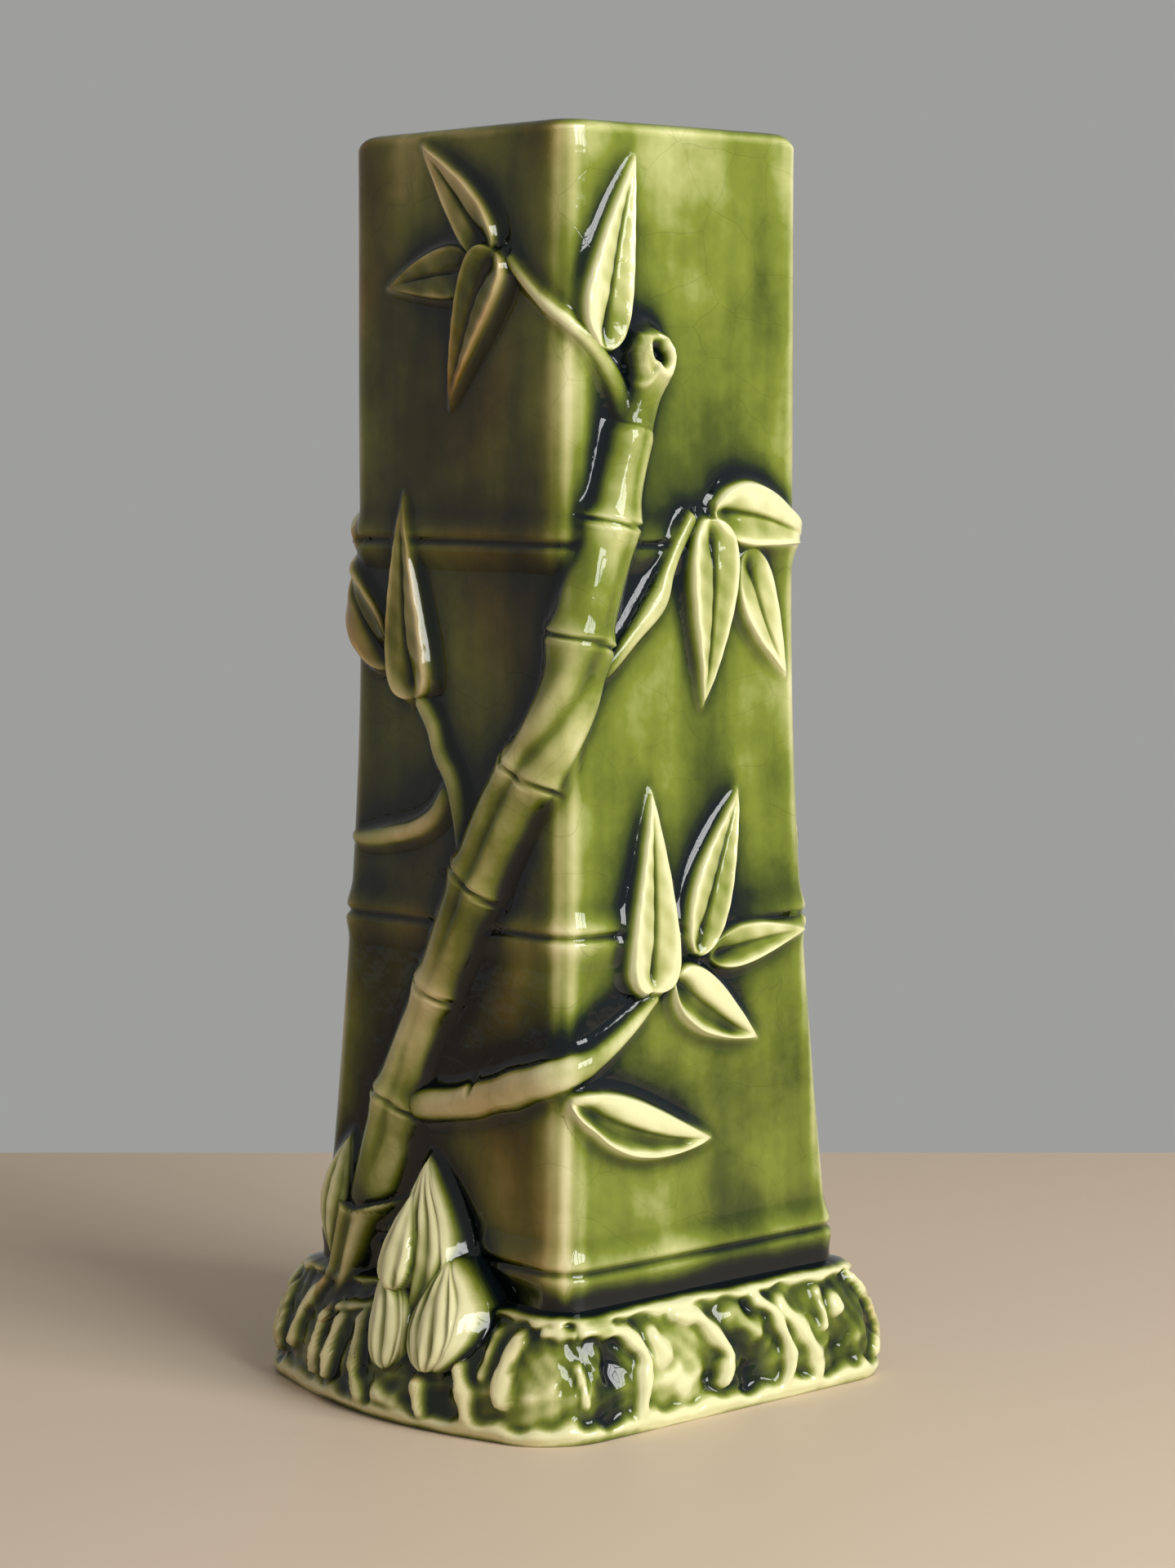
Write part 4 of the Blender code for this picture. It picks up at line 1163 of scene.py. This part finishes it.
def streak_group():
    """Runs and clouds in the glaze, where it flowed down the sides in the kiln."""
    group, given, out = shader_group("Glaze Runs", [("Amount", "Float", 0.1)], [("Depth", "Float")])
    make, do = makers(group)
    place = make("ShaderNodeTexCoord").outputs["Object"]
    down = make("ShaderNodeMapping", Vector=place, Scale=(1, 1, 0.12)).outputs[0]
    runs = make("ShaderNodeTexNoise", Vector=down, Scale=75.0, Detail=3.0, Roughness=0.55)
    clouds = make("ShaderNodeTexNoise", Vector=place, Scale=34.0, Detail=5.0, Roughness=0.6)
    wide = make("ShaderNodeMapping", Vector=place, Scale=(1, 1, 0.25)).outputs[0]
    broad = make("ShaderNodeTexNoise", Vector=wide, Scale=42.0, Detail=1.0)
    both = 0.0
    for noise, strength in ((runs, 0.8), (clouds, 1.4), (broad, 1.0)):
        both = do("MULTIPLY_ADD", do("SUBTRACT", noise.outputs[0], 0.5), strength, both)
    group.links.new(do("MULTIPLY", both, given["Amount"]), out["Depth"])
    return group


def crazing_group():
    """The net of hairline cracks in the glaze."""
    inputs = [("Cells", "Float", 75.0), ("Width", "Float", 0.010)]
    group, given, out = shader_group("Crazing", inputs, [("Crack", "Float")])
    make, do = makers(group)
    place = make("ShaderNodeTexCoord").outputs["Object"]
    warp = make("ShaderNodeTexNoise", Vector=place, Scale=60.0, Detail=2.0)
    shifted = make("ShaderNodeVectorMath", {"operation": "MULTIPLY_ADD"})
    for socket, value in zip(shifted.inputs, (warp.outputs["Color"], (0.006, 0.006, 0.006), place)):
        feed(group, socket, value)
    edges = {"feature": "DISTANCE_TO_EDGE"}
    cells = make("ShaderNodeTexVoronoi", edges, Vector=shifted.outputs[0], Scale=given["Cells"])
    near = do("SUBTRACT", 1.0, do("DIVIDE", cells.outputs["Distance"], given["Width"]))
    fade = make("ShaderNodeTexNoise", Vector=place, Scale=22.0)
    seen = do("MULTIPLY", do("MAXIMUM", near, 0.0), do("MULTIPLY", fade.outputs[0], 1.4))
    group.links.new(do("MINIMUM", seen, 1.0), out["Crack"])
    return group


def tinted(tree, share, colour, tint):
    """A colour multiplied by a share of a tint."""
    mix = node(tree, "ShaderNodeMix", {"data_type": "RGBA", "blend_type": "MULTIPLY"})
    for index, value in ((0, share), (6, colour), (7, (*tint, 1))):
        feed(tree, mix.inputs[index], value)
    return mix.outputs[2]


def glaze_group():
    """The colour of the glaze by its depth, browner and darker where it fired brown and where shade is
    painted.
    """
    colours = bpy.context.scene.vase_glaze
    inputs = [("Depth", "Float", 0.4), ("Brown", "Float", 0.0), ("Crack", "Float", 0.0)]
    group, given, out = shader_group("Pooled Glaze", inputs, [("Color", "Color")])
    ramp = node(group, "ShaderNodeValToRGB", Fac=given["Depth"])
    stops = {"thinnest": 0.0, "thin": 0.2, "even": 0.42, "deep": 0.62, "deeper": 0.82, "pooled": 1.0}
    while len(ramp.color_ramp.elements) < len(stops):
        ramp.color_ramp.elements.new(0.5)
    for element, (name, place) in zip(ramp.color_ramp.elements, stops.items()):
        element.position = place
        element.color = (*getattr(colours, name), 1)
    brown_and_shaded = tinted(group, given["Brown"], ramp.outputs[0], colours.brown)
    group.links.new(tinted(group, given["Crack"], brown_and_shaded, CRACK_TINT), out["Color"])
    return group


def use_group(tree, name, maker, **inputs):
    """A shared group placed in a material, built the first time that it is asked for."""
    group = bpy.data.node_groups.get(name) or maker()
    return node(tree, "ShaderNodeGroup", {"node_tree": group}, **inputs)


def glaze(slot):
    """A glossy lead glaze, coloured by its depth and by painted shade, for one of the finishes."""
    name = "pooled_" + slot
    material = bpy.data.materials.get(name)
    if material:
        return material
    runs, cracks = GLAZES[slot]
    material = bpy.data.materials.new(name)
    material.use_nodes = True
    tree = material.node_tree
    make, do = makers(tree)
    place = make("ShaderNodeTexCoord").outputs["Object"]
    # The depth and the brown read here both carry painted shade
    pool = make("ShaderNodeAttribute", {"attribute_name": "pool"}).outputs["Fac"]
    brown_and_shaded = make("ShaderNodeAttribute", {"attribute_name": "brown"}).outputs["Fac"]
    streaks = use_group(tree, "Glaze Runs", streak_group, Amount=runs)
    crazing = use_group(tree, "Crazing", crazing_group)
    patchy = make("ShaderNodeTexNoise", Vector=place, Scale=38.0, Detail=2.0)
    brown_and_shaded = do("MULTIPLY", brown_and_shaded, do("MULTIPLY_ADD", patchy.outputs[0], 1.6, 0.1))
    depth = do("MULTIPLY_ADD", pool, POOL_AND_SHADE_SHARE, do("ADD", streaks.outputs[0], EVEN_DEPTH))
    # Where brown, the depth is raised too: partly glaze that fired brown, partly painted shade
    depth = do("MULTIPLY_ADD", brown_and_shaded, BROWN_AND_SHADE_SHARE, depth)
    cracked = do("MULTIPLY", crazing.outputs[0], cracks)
    colour = use_group(tree, "Pooled Glaze", glaze_group, Depth=depth, Brown=brown_and_shaded, Crack=cracked)
    wavy = make("ShaderNodeTexNoise", Vector=place, Scale=110.0, Detail=3.0)
    height = do("SUBTRACT", wavy.outputs[0], do("MULTIPLY", crazing.outputs[0], 0.05))
    bump = make("ShaderNodeBump", Height=height, Strength=0.4, Distance=0.0006)
    shader = tree.nodes["Principled BSDF"]
    feed(tree, shader.inputs["Base Color"], colour.outputs[0])
    feed(tree, shader.inputs["Normal"], bump.outputs[0])
    shader.inputs["Roughness"].default_value = 0.07
    shader.inputs["IOR"].default_value = 1.5
    shader.inputs["Specular IOR Level"].default_value = 0.46
    return material


def shared_map():
    """The map of the glaze's depth, worked out once."""
    if not hasattr(shared_map, "made"):
        shared_map.made = GlazeAndShadeMap()
    return shared_map.made


def length_property(name, description, millimetres):
    return FloatProperty(name=name, description=description, default=millimetres * MM, unit="LENGTH")


class ColumnSizes(bpy.types.PropertyGroup):
    """Sizes of the square column that everything is wrapped round"""

    top_width: length_property("Top Width", "Width across two faces at the top", 65)
    flare: length_property("Flare", "How far each face stands out further at the bottom", 8)
    flare_height: length_property("Flare Height", "Height at which the flare begins", 170)
    flare_curve: FloatProperty(name="Flare Curve", description="How late the flare opens out", default=2.0)
    corner_radius: length_property("Corner Radius", "Radius of the upright corners", 6)
    wall: length_property("Wall", "Thickness of the wall", 5)


def colour_property(name, description, *values):
    return FloatVectorProperty(
        name=name, description=description, subtype="COLOR", size=3, min=0, max=1, default=srgb(*values)[:3]
    )


class GlazeColours(bpy.types.PropertyGroup):
    """Colours of the glaze by its depth"""

    thinnest: colour_property("Thinnest", "On sharp edges, where the clay shines through", 232, 231, 180)
    thin: colour_property("Thin", "On raised forms", 187, 190, 124)
    even: colour_property("Even", "On plain walls", 120, 133, 44)
    deep: colour_property("Deep", "In runs and beside raised forms", 74, 86, 24)
    deeper: colour_property("Deeper", "In hollows", 29, 41, 17)
    pooled: colour_property("Pooled", "Where it lies deepest", 8, 18, 22)
    # This tint is partly glaze that fired brown and partly painted shade on the left faces
    brown: colour_property("Brown", "What the glaze is multiplied by where it fired brown", 216, 166, 128)


class StageSettings(bpy.types.PropertyGroup):
    """Light and floor of the plain studio"""

    window: FloatProperty(name="Window", description="Strength of the window light", default=3.2)
    fill: FloatProperty(name="Fill", description="Strength of the light from all round", default=0.3)
    floor: colour_property("Floor", "Colour of the floor", 218, 198, 174)
    backdrop: colour_property("Backdrop", "Colour behind the vase", 158, 159, 157)


class VASE_OT_column(bpy.types.Operator):
    """Makes the hollow column with its rings"""

    bl_idname = "vase.make_column"
    bl_label = "Column"

    def execute(self, context):
        solid = wrapped(body_mesh(shared_map()), glaze("body_glaze"))
        place_piece(solid, "vase_body")
        return {"FINISHED"}


class VASE_OT_foot(bpy.types.Operator):
    """Makes the rockwork foot"""

    bl_idname = "vase.make_foot"
    bl_label = "Rockwork Foot"

    def execute(self, context):
        solid = wrapped(foot_mesh(shared_map()), glaze("rock_glaze"))
        place_piece(solid, "rockwork_foot")
        return {"FINISHED"}


class VASE_OT_canes(bpy.types.Operator):
    """Makes the stalk, its cut stub, its twigs and its branches"""

    bl_idname = "vase.make_canes"
    bl_label = "Canes"

    def execute(self, context):
        for name in CANES:
            tones = THICK_TONES if name in (*THICK_CANES, "twig_top_left") else CANE_TONES
            step = 0.75 if name == "stalk" else 0.5
            columns = 53 if name in THICK_CANES else 33
            mesh = relief_mesh(name, cane_grid(name, step, columns), shared_map(), tones, CANE_BROWN_AND_SHADE)
            place_pair(wrapped(mesh, glaze("stalk_glaze")), name)
        return {"FINISHED"}


class VASE_OT_leaves(bpy.types.Operator):
    """Makes the bamboo leaves"""

    bl_idname = "vase.make_leaves"
    bl_label = "Leaves"

    def execute(self, context):
        for name, leaf in LEAVES.items():
            solid = wrapped(relief_mesh(name, leaf_grid(leaf), shared_map(), LEAF_TONES), glaze("leaf_glaze"))
            place_pair(solid, name)
        return {"FINISHED"}


class VASE_OT_shoots(bpy.types.Operator):
    """Makes the bamboo shoots at the stalk's foot"""

    bl_idname = "vase.make_shoots"
    bl_label = "Shoots"

    def execute(self, context):
        for name, leaf in SHOOTS.items():
            mesh = relief_mesh(name, leaf_grid(leaf), shared_map(), SHOOT_TONES, SHOOT_BROWN_AND_SHADE)
            place_pair(wrapped(mesh, glaze("leaf_glaze")), name)
        return {"FINISHED"}


def plain_material(name, colour, roughness):
    material = bpy.data.materials.new(name)
    material.use_nodes = True
    shader = material.node_tree.nodes["Principled BSDF"]
    shader.inputs["Base Color"].default_value = (*colour, 1)
    shader.inputs["Roughness"].default_value = roughness
    return material


def make_floor(colour):
    """A plain floor that ends a little way behind the vase, square to the camera."""
    mesh = bpy.data.meshes.new("floor")
    turn = Matrix.Rotation(CAMERA_TURN, 4, "Z")
    near, far, wide = -0.7, 0.24, 1.2
    corners = [turn @ Vector((x, y, 0)) for x, y in ((-wide, near), (wide, near), (wide, far), (-wide, far))]
    mesh.from_pydata(corners, [], [(0, 1, 2, 3)])
    mesh.materials.append(plain_material("floor", colour, roughness=0.55))
    floor = bpy.data.objects.new("floor", mesh)
    bpy.context.scene.collection.objects.link(floor)


def add_light(name, place, target, size, strength):
    """A rectangular soft light that faces the target."""
    light = bpy.data.lights.new(name, "AREA")
    light.shape = "RECTANGLE"
    light.size, light.size_y = size
    light.energy = strength
    lamp = bpy.data.objects.new(name, light)
    lamp.location = place
    lamp.rotation_euler = (Vector(target) - Vector(place)).to_track_quat("-Z", "Y").to_euler()
    bpy.context.scene.collection.objects.link(lamp)
    return lamp


def make_world(stage):
    """Light from all round, and the plain backdrop that the camera and the gloss see."""
    world = bpy.data.worlds.new("studio")
    bpy.context.scene.world = world
    world.use_nodes = True
    tree = world.node_tree
    seen = node(tree, "ShaderNodeBackground", Color=(*stage.backdrop, 1), Strength=1.0)
    light = tree.nodes["Background"]
    light.inputs["Color"].default_value = FILL_COLOUR
    light.inputs["Strength"].default_value = stage.fill
    path = node(tree, "ShaderNodeLightPath").outputs
    plain = calc(tree, "MAXIMUM", path["Is Glossy Ray"], path["Is Transmission Ray"])
    mix = node(tree, "ShaderNodeMixShader", Fac=calc(tree, "MAXIMUM", path["Is Camera Ray"], plain))
    tree.links.new(light.outputs[0], mix.inputs[1])
    tree.links.new(seen.outputs[0], mix.inputs[2])
    tree.links.new(mix.outputs[0], tree.nodes["World Output"].inputs["Surface"])


def make_camera():
    """The camera at the photograph's viewing angle."""
    camera = bpy.data.cameras.new("camera")
    camera.sensor_width = SENSOR
    camera.lens = FOCAL_LENGTH / PICTURE_HEIGHT * SENSOR
    camera.clip_start = 0.01
    eye = bpy.data.objects.new("camera", camera)
    turn = Matrix.Rotation(CAMERA_TURN, 4, "Z")
    shift = Matrix.Translation([distance * MM for distance in CAMERA_PLACE])
    eye.matrix_world = turn @ shift @ Matrix.Rotation(math.pi / 2 - CAMERA_TILT, 4, "X")
    bpy.context.scene.collection.objects.link(eye)
    bpy.context.scene.camera = eye


class VASE_OT_stage(bpy.types.Operator):
    """Makes the floor, the lights and the camera"""

    bl_idname = "vase.make_stage"
    bl_label = "Stage"

    def execute(self, context):
        stage = context.scene.vase_stage
        make_floor(stage.floor)
        make_world(stage)
        x, y, z = WINDOW_MIDDLE
        for index, off in enumerate(WINDOW_PANES):
            add_light(f"window_{index}", (x + off, y, z), (0, 0, LIT_HEIGHT), PANE_SIZE, stage.window)
        make_camera()
        context.scene.view_settings.view_transform = "Standard"
        return {"FINISHED"}


class VASE_PT_panel(bpy.types.Panel):
    """Lists the vase's operators"""

    bl_label = "Bamboo Vase"
    bl_idname = "VASE_PT_panel"
    bl_space_type = "VIEW_3D"
    bl_region_type = "UI"
    bl_category = "Bamboo Vase"

    def draw(self, context):
        for operator in OPERATORS:
            self.layout.operator(operator.bl_idname)


OPERATORS = (VASE_OT_column, VASE_OT_foot, VASE_OT_canes, VASE_OT_leaves, VASE_OT_shoots, VASE_OT_stage)
SETTINGS = {"vase_column": ColumnSizes, "vase_glaze": GlazeColours, "vase_stage": StageSettings}


def register():
    for made in (*SETTINGS.values(), *OPERATORS, VASE_PT_panel):
        bpy.utils.register_class(made)
    for name, group in SETTINGS.items():
        setattr(bpy.types.Scene, name, PointerProperty(type=group))


def unregister():
    for name in SETTINGS:
        delattr(bpy.types.Scene, name)
    for made in (VASE_PT_panel, *OPERATORS[::-1], *reversed(SETTINGS.values())):
        bpy.utils.unregister_class(made)


def main():
    register()
    bpy.ops.vase.make_column()
    bpy.ops.vase.make_foot()
    bpy.ops.vase.make_canes()
    bpy.ops.vase.make_leaves()
    bpy.ops.vase.make_shoots()
    bpy.ops.vase.make_stage()


if __name__ == "__main__":
    main()
